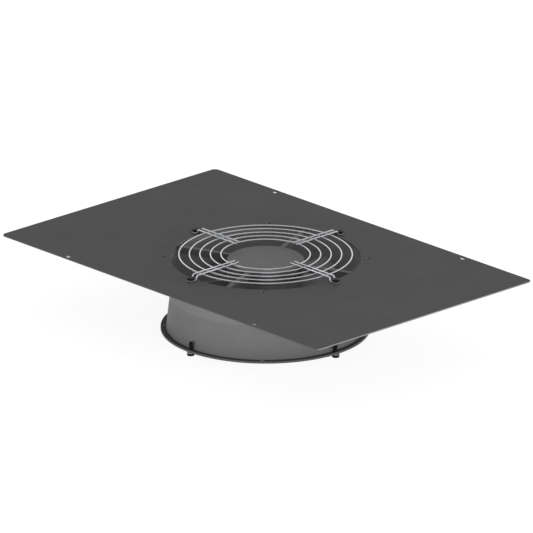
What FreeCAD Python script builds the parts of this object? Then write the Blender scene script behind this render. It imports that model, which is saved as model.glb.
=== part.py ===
"""Rack fan tray: a flat roof plate with one round axial fan hung under it and a wire guard on each side of the fan.

Lengths are in millimetres. The origin is on the fan's axis in the plate's underside, the face that seats on the rack's
roof. X runs along the plate's long side, Y along its short side and Z up, the way the air leaves.
"""
import FreeCAD, Part
import math
import os

import Sketcher

Vector = FreeCAD.Vector

os.makedirs("parts", exist_ok=True)
doc = FreeCAD.newDocument("rack_fan_tray")

# ---------------------------------------------------------------------------------------------------------------
# Driving dimensions. Each is written once here, goes into the spreadsheet and reaches the shapes by expression.
# ---------------------------------------------------------------------------------------------------------------
DRIVING = [
    # Roof plate
    ("plate_length", 558.8, "22 in"),
    ("plate_width", 355.6, "14 in"),
    ("plate_thickness", 1.5, "16 gauge steel sheet"),
    ("plate_corner", 9.0, "corner radius"),
    ("roof_hole_inset_x", 114.3, "from each short edge, 4.5 in"),
    ("roof_hole_inset_y", 6.35, "from each long edge, 0.25 in"),
    ("roof_hole", 6.5, "diameter, for the M6 roof screws"),
    ("opening_lip", 2.0, "how far the plate's edge stands inside the drum's mouth"),
    # Fan fixing, shared by the plate, both flanges, the guards and their screws
    ("bolt_offset", 3.2, "from the drum's outside to the bolt circle"),
    ("flange_rim", 3.5, "from the bolt circle to the flange's edge"),
    ("guard_screw_count", 4, "on each guard"),
    ("holes_per_screw", 2, "flange holes for each guard screw, half of them spare"),
    ("screw_size", 5.0, "M5 shank diameter"),
    ("clearance_hole", 5.5, "diameter in sheet and plastic"),
    ("thread_gap", 0.05, "radial gap between a shank and its tapped hole"),
    ("head_diameter", 9.2, "low round head"),
    ("head_height", 2.4, "low round head"),
    ("head_bevel", 0.6, "bevel round the head's top"),
    ("guard_screw_length", 16.0, "under the head"),
    ("hub_screw_length", 8.0, "under the head"),
    # Fan housing
    ("fan_depth", 88.9, "3.5 in"),
    ("flange_thickness", 2.5, ""),
    ("drum_wall", 3.0, ""),
    ("drum_throat_radius", 116.3, "outside, at the waist"),
    ("drum_flare", 4.0, "how much wider the drum is at both flanges"),
    ("throat_length", 12.0, "straight length of the waist"),
    ("throat_centre", 44.45, "depth of the waist's middle"),
    ("arm_count", 4, ""),
    ("arm_angle", 22.5, "degrees from X to the first arm"),
    ("arm_width", 6.0, ""),
    ("arm_top", 0.8, "depth of the arms' upper face"),
    ("arm_bottom", 9.0, "depth of the arms' lower edge"),
    ("disc_overhang", 0.2, "how far the motor disc stands out over the impeller's hub"),
    ("motor_disc_thickness", 4.0, ""),
    ("motor_skirt_depth", 16.0, ""),
    ("motor_skirt_wall", 2.5, ""),
    ("disc_bevel", 0.8, ""),
    ("boss_wall", 5.0, "round the bearing tube"),
    ("boss_depth", 18.0, ""),
    ("boss_roof", 3.5, "metal left over the blind bore"),
    # Lead channel and terminal block, on the second arm
    ("terminal_angle", 112.5, "degrees from X to the arm that carries the leads"),
    ("lead_diameter", 1.4, ""),
    ("lead_spacing", 1.7, ""),
    ("channel_width", 3.6, ""),
    ("channel_depth", 2.6, ""),
    ("terminal_width", 22.0, ""),
    ("terminal_height", 15.0, ""),
    ("terminal_proud", 4.0, "how far the block stands out past the flange"),
    ("terminal_fit", 0.2, "gap to the drum"),
    ("tab_width", 4.8, ""),
    ("tab_thickness", 0.8, ""),
    ("tab_length", 8.0, "outside the block"),
    ("tab_spacing", 11.0, ""),
    # Shaft and sleeve bearings
    ("shaft_diameter", 8.0, ""),
    ("running_gap", 0.03, "radial gap between the shaft and a bearing"),
    ("axial_play", 0.3, "gap between a thrust washer and what turns above or below it"),
    ("tube_bore_radius", 8.0, ""),
    ("tube_wall", 4.0, ""),
    ("bearing_length", 14.0, ""),
    ("upper_bearing_top", 14.0, "depth"),
    ("lower_bearing_bottom", 64.0, "depth"),
    ("washer_thickness", 1.0, ""),
    ("washer_fit", 0.5, "radial gap between a washer and the tube"),
    ("wick_gap", 0.6, "radial gap between the felt and the shaft"),
    ("shaft_end", 2.4, "length of shaft over the clip"),
    ("clip_thickness", 0.8, ""),
    ("clip_reach", 2.4, "how far the clip stands out round the shaft"),
    ("clip_groove", 0.7, "depth of the shaft's clip groove"),
    # Stator
    ("stack_top", 29.0, "depth of the lamination stacks' upper faces"),
    ("stack_bottom", 55.0, "depth of the lamination stacks' lower faces"),
    ("pole_count", 4, ""),
    ("core_wall", 5.0, "of the hub on the bearing tube"),
    ("pole_neck_width", 12.0, ""),
    ("pole_face_radius", 29.5, ""),
    ("pole_shoe_depth", 4.0, ""),
    ("pole_gap", 6.0, "between neighbouring pole shoes"),
    ("coil_build", 4.5, "thickness of winding round a neck"),
    ("coil_stop", 2.7, "how far a coil ends short of the curved shoe"),
    ("coil_fit", 0.2, "gap between a coil and its neck"),
    ("shading_angle", 31.7, "degrees from a pole's middle to its shading ring's middle"),
    ("shading_near", 3.4, "inside of the ring's leg in the shoe's slot"),
    ("shading_far", 4.1, "inside of the ring's leg in the pole gap"),
    ("shading_wire", 1.6, ""),
    ("shading_fit", 0.2, "gap on each side of the ring's leg"),
    ("shading_inset", 0.9, "from the shoe's back to the ring"),
    ("shading_width", 2.0, ""),
    # Rotor
    ("air_gap", 0.5, "between the pole faces and the rotor"),
    ("cup_wall", 1.5, ""),
    ("cup_rim_gap", 2.0, "between the motor skirt and the cup's rim"),
    ("cup_floor_thickness", 2.0, ""),
    ("cup_boss_wall", 4.0, "round the shaft"),
    ("cup_boss_height", 4.7, ""),
    ("bar_count", 18, ""),
    ("bar_width", 3.0, ""),
    ("bar_depth", 6.0, "along the radius"),
    ("bar_cover", 2.5, "lamination between the rotor's bore and a bar"),
    ("bar_rim", 3.0, "lamination between a bar and the cup"),
    ("end_ring_height", 4.0, ""),
    ("end_ring_step", 1.5, "from the rotor's bore to an end ring"),
    # Impeller
    ("hub_wall", 3.5, "round the rotor cup"),
    ("hub_floor", 3.0, "thickness"),
    ("hub_edge", 3.0, "bevel round the hub's closed end"),
    ("hub_screw_circle", 52.0, "diameter"),
    ("hub_screw_count", 3, ""),
    ("blade_count", 5, ""),
    ("blade_middle", 46.0, "depth of the blades' middle"),
    ("blade_tip_gap", 1.5, "between the blades' tips and the drum's waist"),
    ("blade_tip_trim", 1.2, "length that the trimming takes off each tip"),
    ("blade_root_sink", 0.3, "from the rotor cup to the plane of the root section"),
    ("root_chord", 60.0, ""),
    ("root_pitch", 50.0, "degrees from the plane of rotation"),
    ("root_camber", 6.0, ""),
    ("root_thickness", 4.2, ""),
    ("tip_chord", 104.0, ""),
    ("tip_pitch", 22.0, "degrees from the plane of rotation"),
    ("tip_camber", 5.0, ""),
    ("tip_thickness", 2.8, ""),
    ("blade_edge", 1.0, "thickness of the leading and trailing edges"),
    # Wire guards
    ("ring_count", 5, ""),
    ("ring_inner_gap", 7.275, "from the motor disc to the smallest ring's centre line"),
    ("ring_outer_gap", 18.725, "from the largest ring's centre line to the bolt circle"),
    ("ring_wire", 2.0, "diameter"),
    ("ring_height", 3.9, "centre line above the guard's seat"),
    ("spoke_wire", 2.2, "diameter"),
    ("leg_spacing", 7.0, "between a spoke's two legs, centre to centre"),
    ("loop_gap", 0.25, "between a spoke's loop and its screw"),
    ("spoke_inner_gap", 0.9, "from the motor disc to the legs' inner ends"),
    ("spoke_overhang", 9.225, "from the largest ring to where the legs turn down"),
    ("spoke_bend_radius", 2.5, "centre line"),
    ("spoke_slope", 60.0, "degrees"),
]


class Size:
    """A dimension that carries its present value together with the spreadsheet expression that gives it."""

    def __init__(self, value, text):
        self.value = value
        self.text = text

    def __add__(self, other):
        other = as_size(other)
        return Size(self.value + other.value, f"({self.text} + {other.text})")

    def __sub__(self, other):
        other = as_size(other)
        return Size(self.value - other.value, f"({self.text} - {other.text})")

    def __mul__(self, other):
        other = as_size(other)
        return Size(self.value * other.value, f"({self.text} * {other.text})")

    def __truediv__(self, other):
        other = as_size(other)
        return Size(self.value / other.value, f"({self.text} / {other.text})")

    def __neg__(self):
        return Size(-self.value, f"(0 - {self.text})")


def as_size(number):
    """Plain numbers may stand beside sizes in a sum."""
    if isinstance(number, Size):
        return number
    return Size(number, repr(number))


class Sheet:
    """The spreadsheet of driving dimensions, each read as an attribute."""

    def __init__(self, rows):
        self.object = doc.addObject("Spreadsheet::Sheet", "Sizes")
        for row, (name, value, note) in enumerate(rows, start=1):
            self.object.set(f"A{row}", name)
            self.object.set(f"B{row}", str(value))
            self.object.set(f"C{row}", note)
            self.object.setAlias(f"B{row}", name)
            setattr(self, name, Size(value, f"Sizes.{name}"))


size = Sheet(DRIVING)
doc.recompute()

# Sizes that several pieces share, worked out once from the driving ones.
# The drum's waist sets the air way, the bolt circle and the flanges.
throat_bore = size.drum_throat_radius - size.drum_wall
drum_end_radius = size.drum_throat_radius + size.drum_flare
drum_mouth = drum_end_radius - size.drum_wall
bolt_radius = drum_end_radius + size.bolt_offset
flange_radius = bolt_radius + size.flange_rim
hole_count = size.guard_screw_count * size.holes_per_screw
shank_radius = size.screw_size / 2
tapped_radius = shank_radius + size.thread_gap
clearance_radius = size.clearance_hole / 2

# The shaft and the bearing tube set what sits round them and how far down the motor reaches.
shaft_radius = size.shaft_diameter / 2
tube_outer_radius = size.tube_bore_radius + size.tube_wall
core_hub_radius = tube_outer_radius + size.core_wall
clip_bottom = size.upper_bearing_top - size.washer_thickness - size.axial_play
lower_thrust_face = size.lower_bearing_bottom + size.washer_thickness + size.axial_play
cup_top = size.motor_skirt_depth + size.cup_rim_gap
cup_floor = lower_thrust_face + size.cup_boss_height
cup_bottom = cup_floor + size.cup_floor_thickness
hub_bottom = cup_bottom + size.hub_floor

# The pole faces set the motor's radii outwards to the hub and the motor disc.
pole_shoe_inner = size.pole_face_radius - size.pole_shoe_depth
rotor_bore = size.pole_face_radius + size.air_gap
bar_inner = rotor_bore + size.bar_cover
bar_outer = bar_inner + size.bar_depth
cup_inner_radius = bar_outer + size.bar_rim
cup_outer_radius = cup_inner_radius + size.cup_wall
hub_radius = cup_outer_radius + size.hub_wall
motor_disc_radius = hub_radius + size.disc_overhang
skirt_bore = motor_disc_radius - size.motor_skirt_wall

# The guards reach from the motor disc to the bolt circle.
ring_inner_radius = motor_disc_radius + size.ring_inner_gap
ring_outer_radius = bolt_radius - size.ring_outer_gap
spoke_inner_end = motor_disc_radius + size.spoke_inner_gap
spoke_bend_start = ring_outer_radius + size.spoke_overhang
loop_radius = shank_radius + size.loop_gap + size.spoke_wire / 2
half_spacing = size.leg_spacing / 2
loop_reach = math.sqrt(loop_radius.value**2 - half_spacing.value**2)
loop_reach_text = f"sqrt({loop_radius.text} ^ 2 - {half_spacing.text} ^ 2)"
legs_end = bolt_radius - Size(loop_reach, loop_reach_text)
loop_sweep = 360 - 2 * math.degrees(math.asin(half_spacing.value / loop_radius.value))
SIXTH = math.tan(math.pi / 6)  # half side of a regular hexagon for each half width across its flats


# ---------------------------------------------------------------------------------------------------------------
# Helpers
# ---------------------------------------------------------------------------------------------------------------
def new_body(label):
    body = doc.addObject("PartDesign::Body", label)
    body.Label = label
    body.AllowCompound = True
    return body


def origin_feature(body, role):
    for feature in body.Origin.OriginFeatures:
        if feature.Role == role:
            return feature
    raise ValueError(role)


def new_sketch(body, name, role="XY_Plane", lift=0.0, turn=0.0):
    """A sketch on one of the body's origin planes, lifted along the plane's normal and turned about it."""
    lift = as_size(lift)
    turn = as_size(turn)
    sketch = body.newObject("Sketcher::SketchObject", f"{body.Name}_{name}")
    sketch.AttachmentSupport = [(origin_feature(body, role), "")]
    sketch.MapMode = "FlatFace"
    rotation = FreeCAD.Rotation(Vector(0, 0, 1), turn.value)
    sketch.AttachmentOffset = FreeCAD.Placement(Vector(0, 0, lift.value), rotation)
    if lift.value:
        sketch.setExpression("AttachmentOffset.Base.z", lift.text)
    if turn.value:
        sketch.setExpression("AttachmentOffset.Rotation.Angle", turn.text)
    return sketch


def drive(sketch, kind, *reference, by):
    """Adds a dimensional constraint whose value comes from the spreadsheet."""
    by = as_size(by)
    index = sketch.addConstraint(Sketcher.Constraint(kind, *reference, by.value))
    if "Sizes." in by.text:
        sketch.setExpression(f"Constraints[{index}]", by.text)
    return index


def pin(sketch, geometry, point, x, y):
    """Holds one point of a sketch at x, y from the sketch's origin."""
    drive(sketch, "DistanceX", -1, 1, geometry, point, by=x)
    drive(sketch, "DistanceY", -1, 1, geometry, point, by=y)


def add_polygon(sketch, corners):
    """A closed outline with straight sides through the given corners."""
    corners = [(as_size(x), as_size(y)) for x, y in corners]
    places = [Vector(x.value, y.value, 0) for x, y in corners]
    first = sketch.GeometryCount
    for start, end in zip(places, places[1:] + places[:1]):
        sketch.addGeometry(Part.LineSegment(start, end), False)
    count = len(corners)
    for i in range(count):
        sketch.addConstraint(Sketcher.Constraint("Coincident", first + i, 2, first + (i + 1) % count, 1))
    for i, (x, y) in enumerate(corners):
        pin(sketch, first + i, 1, x, y)


def add_rectangle(sketch, left, right, bottom, top):
    add_polygon(sketch, [(left, bottom), (right, bottom), (right, top), (left, top)])


def add_circle(sketch, radius, x=0.0, y=0.0):
    x, y = as_size(x), as_size(y)
    index = sketch.addGeometry(Part.Circle(Vector(x.value, y.value, 0), Vector(0, 0, 1), radius.value), False)
    pin(sketch, index, 3, x, y)
    drive(sketch, "Radius", index, by=radius)


def add_upright_axis(sketch, distance):
    """A construction line for turning a profile about, upright at a distance from the fan's axis."""
    length = 10.0
    foot = Vector(distance.value, 0, 0)
    line = sketch.addGeometry(Part.LineSegment(foot, foot + Vector(0, length, 0)), True)
    pin(sketch, line, 1, distance, 0.0)
    pin(sketch, line, 2, distance, length)
    return "Axis0"


def add_wire_section(sketch, x, y, wire):
    """The section of a round wire, drawn with six flats so that two wires meet face to face where they cross."""
    flat = wire / 2
    side = flat * SIXTH
    corner = side * 2
    steps = [(corner, 0.0), (side, flat), (-side, flat), (-corner, 0.0), (-side, -flat), (side, -flat)]
    add_polygon(sketch, [(x + dx, y + dy) for dx, dy in steps])


def pad(body, sketch, length, name):
    feature = body.newObject("PartDesign::Pad", f"{body.Name}_{name}")
    feature.Profile = sketch
    feature.Length = length.value
    feature.setExpression("Length", length.text)
    return feature


def cut_through(body, sketch, name):
    """A pocket that runs both ways from its sketch through all that the body holds."""
    feature = body.newObject("PartDesign::Pocket", f"{body.Name}_{name}")
    feature.Profile = sketch
    feature.Type = "ThroughAll"
    feature.Midplane = True
    return feature


def cut(body, sketch, depth, name, upwards=False):
    feature = body.newObject("PartDesign::Pocket", f"{body.Name}_{name}")
    feature.Profile = sketch
    feature.Length = depth.value
    feature.setExpression("Length", depth.text)
    feature.Reversed = upwards
    return feature


def revolve(body, sketch, name, kind="Revolution", axis="V_Axis", angle=360.0, backwards=False):
    feature = body.newObject(f"PartDesign::{kind}", f"{body.Name}_{name}")
    feature.Profile = sketch
    feature.ReferenceAxis = (sketch, [axis])
    feature.Angle = angle
    feature.Reversed = backwards
    return feature


def polar(body, originals, count, name):
    """Repeats features evenly round the fan's axis."""
    feature = body.newObject("PartDesign::PolarPattern", f"{body.Name}_{name}")
    feature.Originals = originals
    feature.Axis = (origin_feature(body, "Z_Axis"), [""])
    feature.Angle = 360.0
    feature.Occurrences = int(count.value)
    feature.setExpression("Occurrences", count.text)
    body.Tip = feature
    return feature


def turned(label, profile):
    """A piece turned about the fan's axis from corners given as radius and depth below the plate's underside."""
    body = new_body(label)
    sketch = new_sketch(body, "profile", "XZ_Plane")
    add_polygon(sketch, [(radius, -as_size(depth)) for radius, depth in profile])
    revolve(body, sketch, "turn")
    return body


def ring(label, inner, outer, top, bottom):
    return turned(label, [(inner, top), (outer, top), (outer, bottom), (inner, bottom)])


# ---------------------------------------------------------------------------------------------------------------
# Roof plate
# ---------------------------------------------------------------------------------------------------------------
def make_cover_plate():
    """Flat sheet with rounded corners, the air opening, eight fan holes and four roof holes."""
    body = new_body("cover_plate")
    outline = new_sketch(body, "outline")
    half_length = size.plate_length / 2
    half_width = size.plate_width / 2
    add_rectangle(outline, -half_length, half_length, -half_width, half_width)
    sheet = pad(body, outline, size.plate_thickness, "sheet")
    doc.recompute()

    upright = []
    for number, edge in enumerate(sheet.Shape.Edges, start=1):
        ends = [vertex.Point for vertex in edge.Vertexes]
        if abs(ends[0].z - ends[1].z) > size.plate_thickness.value / 2:
            upright.append(f"Edge{number}")
    corners = body.newObject("PartDesign::Fillet", "cover_plate_corners")
    corners.Base = (sheet, upright)
    corners.Radius = size.plate_corner.value
    corners.setExpression("Radius", size.plate_corner.text)

    opening = new_sketch(body, "opening")
    add_circle(opening, drum_mouth - size.opening_lip)
    for x in (-1, 1):
        for y in (-1, 1):
            add_circle(
                opening,
                size.roof_hole / 2,
                (half_length - size.roof_hole_inset_x) * x,
                (half_width - size.roof_hole_inset_y) * y,
            )
    cut_through(body, opening, "openings")

    fan_hole = new_sketch(body, "fan_hole")
    add_circle(fan_hole, clearance_radius, bolt_radius)
    hole = cut_through(body, fan_hole, "fan_hole_cut")
    polar(body, [hole], hole_count, "fan_holes")
    return body


# ---------------------------------------------------------------------------------------------------------------
# Fan housing
# ---------------------------------------------------------------------------------------------------------------
def drum_profile():
    """The waisted drum between its two flanges, as radius and depth, outside first and then back up the bore."""
    top_inner = size.flange_thickness
    bottom_inner = size.fan_depth - size.flange_thickness
    waist_top = size.throat_centre - size.throat_length / 2
    waist_bottom = size.throat_centre + size.throat_length / 2
    return [
        (drum_mouth, 0.0),
        (flange_radius, 0.0),
        (flange_radius, top_inner),
        (drum_end_radius, top_inner),
        (size.drum_throat_radius, waist_top),
        (size.drum_throat_radius, waist_bottom),
        (drum_end_radius, bottom_inner),
        (flange_radius, bottom_inner),
        (flange_radius, size.fan_depth),
        (drum_mouth, size.fan_depth),
        (throat_bore, waist_bottom),
        (throat_bore, waist_top),
    ]


def make_fan_housing():
    """One casting: flanged drum, four arms and the motor disc with its skirt and bearing boss."""
    body = new_body("fan_housing")
    drum = new_sketch(body, "drum_profile", "XZ_Plane")
    add_polygon(drum, [(radius, -as_size(depth)) for radius, depth in drum_profile()])
    revolve(body, drum, "drum")

    # The arms run from inside the motor disc into the drum's wall.
    arm = new_sketch(body, "arm_outline", lift=-size.arm_bottom, turn=size.arm_angle)
    arm_end = drum_mouth + size.drum_wall / 2
    add_rectangle(arm, skirt_bore, arm_end, -size.arm_width / 2, size.arm_width / 2)
    first_arm = pad(body, arm, size.arm_bottom - size.arm_top, "arm")
    polar(body, [first_arm], size.arm_count, "arms")

    disc = new_sketch(body, "disc_profile", "XZ_Plane")
    boss_radius = tube_outer_radius + size.boss_wall
    profile = [
        (0.0, 0.0),
        (motor_disc_radius - size.disc_bevel, 0.0),
        (motor_disc_radius, size.disc_bevel),
        (motor_disc_radius, size.motor_skirt_depth),
        (skirt_bore, size.motor_skirt_depth),
        (skirt_bore, size.motor_disc_thickness),
        (boss_radius, size.motor_disc_thickness),
        (boss_radius, size.boss_depth),
        (tube_outer_radius, size.boss_depth),
        (tube_outer_radius, size.boss_roof),
        (0.0, size.boss_roof),
    ]
    add_polygon(disc, [(radius, -as_size(depth)) for radius, depth in profile])
    revolve(body, disc, "motor_disc")

    # One run of holes round the bolt circle passes through both flanges and clears the drum between them.
    screw_hole = new_sketch(body, "flange_hole")
    add_circle(screw_hole, tapped_radius, bolt_radius)
    hole = cut_through(body, screw_hole, "flange_hole_cut")
    polar(body, [hole], hole_count, "flange_holes")

    # The lead channel under one arm opens through the motor skirt and the drum's wall.
    channel = new_sketch(body, "channel_outline", lift=-size.arm_bottom, turn=size.terminal_angle)
    add_rectangle(
        channel,
        skirt_bore - size.motor_skirt_wall,
        drum_end_radius + size.drum_wall,
        -size.channel_width / 2,
        size.channel_width / 2,
    )
    cut(body, channel, size.channel_depth, "lead_channel", upwards=True)
    return body


# ---------------------------------------------------------------------------------------------------------------
# Terminal block, its tabs and the motor's leads, drawn along X and then turned to their arm
# ---------------------------------------------------------------------------------------------------------------
def turn_to_terminal(piece):
    piece.Placement = FreeCAD.Placement(Vector(), FreeCAD.Rotation(Vector(0, 0, 1), size.terminal_angle.value))
    piece.setExpression("Placement.Rotation.Angle", size.terminal_angle.text)
    return piece


def block_box(name, start, end, width, height, top):
    """A Part box centred on X, from one radius to another, its top at a depth below the plate."""
    box = doc.addObject("Part::Box", name)
    box.setExpression("Length", (end - start).text)
    box.setExpression("Width", width.text)
    box.setExpression("Height", height.text)
    box.setExpression("Placement.Base.x", start.text)
    box.setExpression("Placement.Base.y", (-width / 2).text)
    box.setExpression("Placement.Base.z", (-top - height).text)
    return box


def make_terminals():
    """Plastic block under the upper flange, hollowed to the drum, with a neck that fills the lead channel's end.

    Two flat tabs stand in slots in its outer face, for push-on connectors.
    """
    block_face = flange_radius + size.terminal_proud
    outside = block_box(
        "terminal_outside",
        size.drum_throat_radius,
        block_face,
        size.terminal_width,
        size.terminal_height,
        size.flange_thickness,
    )
    slope = (drum_end_radius - size.drum_throat_radius) / (
        size.throat_centre - size.throat_length / 2 - size.flange_thickness
    )
    drum = doc.addObject("Part::Cone", "terminal_drum_clearance")
    top_radius = drum_end_radius + size.terminal_fit
    drum.setExpression("Height", size.terminal_height.text)
    drum.setExpression("Radius2", top_radius.text)
    drum.setExpression("Radius1", (top_radius - slope * size.terminal_height).text)
    drum.setExpression("Placement.Base.z", (-size.flange_thickness - size.terminal_height).text)
    hollowed = doc.addObject("Part::Cut", "terminal_hollowed")
    hollowed.Base = outside
    hollowed.Tool = drum
    neck = block_box(
        "terminal_neck",
        size.drum_throat_radius - size.drum_wall,
        drum_end_radius + size.drum_wall,
        size.channel_width - size.terminal_fit * 2,
        size.channel_depth - size.terminal_fit * 2,
        size.arm_bottom - size.channel_depth + size.terminal_fit,
    )
    joined = doc.addObject("Part::Fuse", "terminal_joined")
    joined.Base = hollowed
    joined.Tool = neck

    blades = []
    for name, side in (("first", -1), ("second", 1)):
        blade = block_box(
            f"{name}_terminal_blade",
            block_face - size.tab_length,
            block_face + size.tab_length,
            size.tab_width,
            size.tab_thickness,
            size.flange_thickness + size.terminal_height / 2,
        )
        blade.setExpression("Placement.Base.y", (size.tab_spacing / 2 * side - size.tab_width / 2).text)
        blades.append(blade)
    slots = doc.addObject("Part::Compound", "terminal_slots")
    slots.Links = blades
    block = doc.addObject("Part::Cut", "terminal_block")
    block.Base = joined
    block.Tool = slots
    turn_to_terminal(block)

    tabs = doc.addObject("Part::Compound", "terminal_tabs")
    tabs.Links = blades
    turn_to_terminal(tabs)


def make_motor_leads():
    """Two straight leads side by side in the channel under the arm, from inside the motor skirt to the block."""
    body = new_body("motor_leads")
    start = motor_disc_radius - size.motor_skirt_wall * 2
    section = new_sketch(body, "section", "YZ_Plane", lift=start)
    depth = size.arm_bottom - size.channel_depth / 2
    for side in (-1, 1):
        add_circle(section, size.lead_diameter / 2, size.lead_spacing / 2 * side, -depth)
    pad(body, section, size.drum_throat_radius - size.drum_wall - start, "run")
    return turn_to_terminal(body)


# ---------------------------------------------------------------------------------------------------------------
# Screws
# ---------------------------------------------------------------------------------------------------------------
def make_screws(label, circle_radius, length, count):
    """Pan head screws standing round a circle, their heads' undersides at height 0 and their shanks hanging down."""
    body = new_body(label)
    sketch = new_sketch(body, "profile", "XZ_Plane")
    head = size.head_diameter / 2
    profile = [
        (circle_radius, -length),
        (circle_radius + shank_radius, -length),
        (circle_radius + shank_radius, 0.0),
        (circle_radius + head, 0.0),
        (circle_radius + head, size.head_height - size.head_bevel),
        (circle_radius + head - size.head_bevel, size.head_height),
        (circle_radius, size.head_height),
    ]
    add_polygon(sketch, profile)
    first = revolve(body, sketch, "screw", axis=add_upright_axis(sketch, circle_radius))
    polar(body, [first], count, "set")
    return body


def set_height(piece, height, upside_down=False):
    """Moves a piece to a height and, when asked, first turns it over about X."""
    rotation = FreeCAD.Rotation(Vector(1, 0, 0), 180 if upside_down else 0)
    piece.Placement = FreeCAD.Placement(Vector(0, 0, height.value), rotation)
    piece.setExpression("Placement.Base.z", height.text)
    return piece


# ---------------------------------------------------------------------------------------------------------------
# Bearings and shaft
# ---------------------------------------------------------------------------------------------------------------
def make_bearing_parts():
    bearing_bore = shaft_radius + size.running_gap
    washer_bore = shaft_radius + size.axial_play
    washer_radius = size.tube_bore_radius - size.washer_fit
    upper_bearing_bottom = size.upper_bearing_top + size.bearing_length
    lower_bearing_top = size.lower_bearing_bottom - size.bearing_length
    ring("bearing_tube", size.tube_bore_radius, tube_outer_radius, size.boss_roof, size.lower_bearing_bottom)
    ring("upper_bearing", bearing_bore, size.tube_bore_radius, size.upper_bearing_top, upper_bearing_bottom)
    ring("lower_bearing", bearing_bore, size.tube_bore_radius, lower_bearing_top, size.lower_bearing_bottom)
    wick_bore = shaft_radius + size.wick_gap
    ring("oil_wick", wick_bore, size.tube_bore_radius, upper_bearing_bottom, lower_bearing_top)
    washer_top = size.upper_bearing_top - size.washer_thickness
    ring("upper_thrust_washer", washer_bore, washer_radius, washer_top, size.upper_bearing_top)
    washer_bottom = size.lower_bearing_bottom + size.washer_thickness
    ring("lower_thrust_washer", washer_bore, washer_radius, size.lower_bearing_bottom, washer_bottom)


def make_shaft():
    """Ground shaft with a groove near its upper end for the retaining clip."""
    groove_radius = shaft_radius - size.clip_groove
    clip_top = clip_bottom - size.clip_thickness
    return turned(
        "shaft",
        [
            (0.0, clip_top - size.shaft_end),
            (shaft_radius, clip_top - size.shaft_end),
            (shaft_radius, clip_top),
            (groove_radius, clip_top),
            (groove_radius, clip_bottom),
            (shaft_radius, clip_bottom),
            (shaft_radius, cup_bottom),
            (0.0, cup_bottom),
        ],
    )


def make_retaining_clip():
    """Open spring clip that sits in the shaft's groove, with a gap through which it is pushed on."""
    groove_radius = shaft_radius - size.clip_groove
    clip_radius = shaft_radius + size.clip_reach
    clip = ring("retaining_clip", groove_radius, clip_radius, clip_bottom - size.clip_thickness, clip_bottom)
    mouth = new_sketch(clip, "mouth_outline", lift=-clip_bottom)
    add_rectangle(mouth, 0.0, clip_radius * 1.5, -groove_radius * 0.8, groove_radius * 0.8)
    cut_through(clip, mouth, "mouth")
    return clip


# ---------------------------------------------------------------------------------------------------------------
# Stator
# ---------------------------------------------------------------------------------------------------------------
def make_stator_core():
    """Lamination stack: a hub on the bearing tube and salient poles, each shoe slotted for its shading ring."""
    body = new_body("stator_core")
    height = size.stack_bottom - size.stack_top
    base = -size.stack_bottom
    hub = new_sketch(body, "hub_outline", lift=base)
    add_circle(hub, core_hub_radius)
    add_circle(hub, tube_outer_radius)
    pad(body, hub, height, "hub")

    neck = new_sketch(body, "neck_outline", lift=base)
    neck_start = tube_outer_radius + (core_hub_radius - tube_outer_radius) / 2
    neck_end = pole_shoe_inner + 1
    add_rectangle(neck, neck_start, neck_end, -size.pole_neck_width / 2, size.pole_neck_width / 2)
    first_neck = pad(body, neck, height, "neck")
    polar(body, [first_neck], size.pole_count, "necks")

    shoes = new_sketch(body, "shoe_outline", lift=base)
    add_circle(shoes, size.pole_face_radius)
    add_circle(shoes, pole_shoe_inner)
    pad(body, shoes, height, "shoes")

    gap = new_sketch(body, "gap_outline", lift=base, turn=as_size(45.0))
    shoe_out = size.pole_face_radius + 1
    add_rectangle(gap, pole_shoe_inner - 1, shoe_out, -size.pole_gap / 2, size.pole_gap / 2)
    first_gap = cut_through(body, gap, "gap")
    polar(body, [first_gap], size.pole_count, "gaps")

    slot = new_sketch(body, "slot_outline", lift=base, turn=size.shading_angle)
    slot_near = -size.shading_near + size.shading_fit
    slot_far = -size.shading_near - size.shading_wire - size.shading_fit
    slot_back = pole_shoe_inner + size.shading_inset - size.shading_fit
    add_rectangle(slot, slot_back, shoe_out, slot_far, slot_near)
    first_slot = cut_through(body, slot, "shading_slot")
    polar(body, [first_slot], size.pole_count, "shading_slots")
    return body


def make_stator_coils():
    """One rectangular coil round each pole's neck."""
    body = new_body("stator_coils")
    section = new_sketch(body, "section", "YZ_Plane", lift=core_hub_radius + size.coil_fit)
    side = size.pole_neck_width / 2 + size.coil_fit
    top = -size.stack_top + size.coil_fit
    bottom = -size.stack_bottom - size.coil_fit
    add_rectangle(section, -side, side, bottom, top)
    add_rectangle(
        section,
        -side - size.coil_build,
        side + size.coil_build,
        bottom - size.coil_build,
        top + size.coil_build,
    )
    coil_end = pole_shoe_inner - size.coil_stop
    first = pad(body, section, coil_end - core_hub_radius - size.coil_fit, "coil")
    polar(body, [first], size.pole_count, "coils")
    return body


def make_shading_rings():
    """A copper loop round part of each pole shoe, which makes the single phase field turn."""
    body = new_body("shading_rings")
    top = -size.stack_top + size.shading_fit
    bottom = -size.stack_bottom - size.shading_fit
    section = new_sketch(body, "section", "YZ_Plane", lift=pole_shoe_inner + size.shading_inset)
    wire = size.shading_wire
    add_rectangle(section, -size.shading_near, size.shading_far, bottom, top)
    add_rectangle(section, -size.shading_near - wire, size.shading_far + wire, bottom - wire, top + wire)
    first = pad(body, section, size.shading_width, "ring")
    polar(body, [first], size.pole_count, "rings")
    body.Placement = FreeCAD.Placement(Vector(), FreeCAD.Rotation(Vector(0, 0, 1), size.shading_angle.value))
    body.setExpression("Placement.Rotation.Angle", size.shading_angle.text)
    return body


# ---------------------------------------------------------------------------------------------------------------
# Rotor
# ---------------------------------------------------------------------------------------------------------------
def drill_hub_screw_holes(body, radius):
    hole_outline = new_sketch(body, "screw_hole")
    add_circle(hole_outline, radius, size.hub_screw_circle / 2)
    hole = cut_through(body, hole_outline, "screw_hole_cut")
    polar(body, [hole], size.hub_screw_count, "screw_holes")


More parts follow.
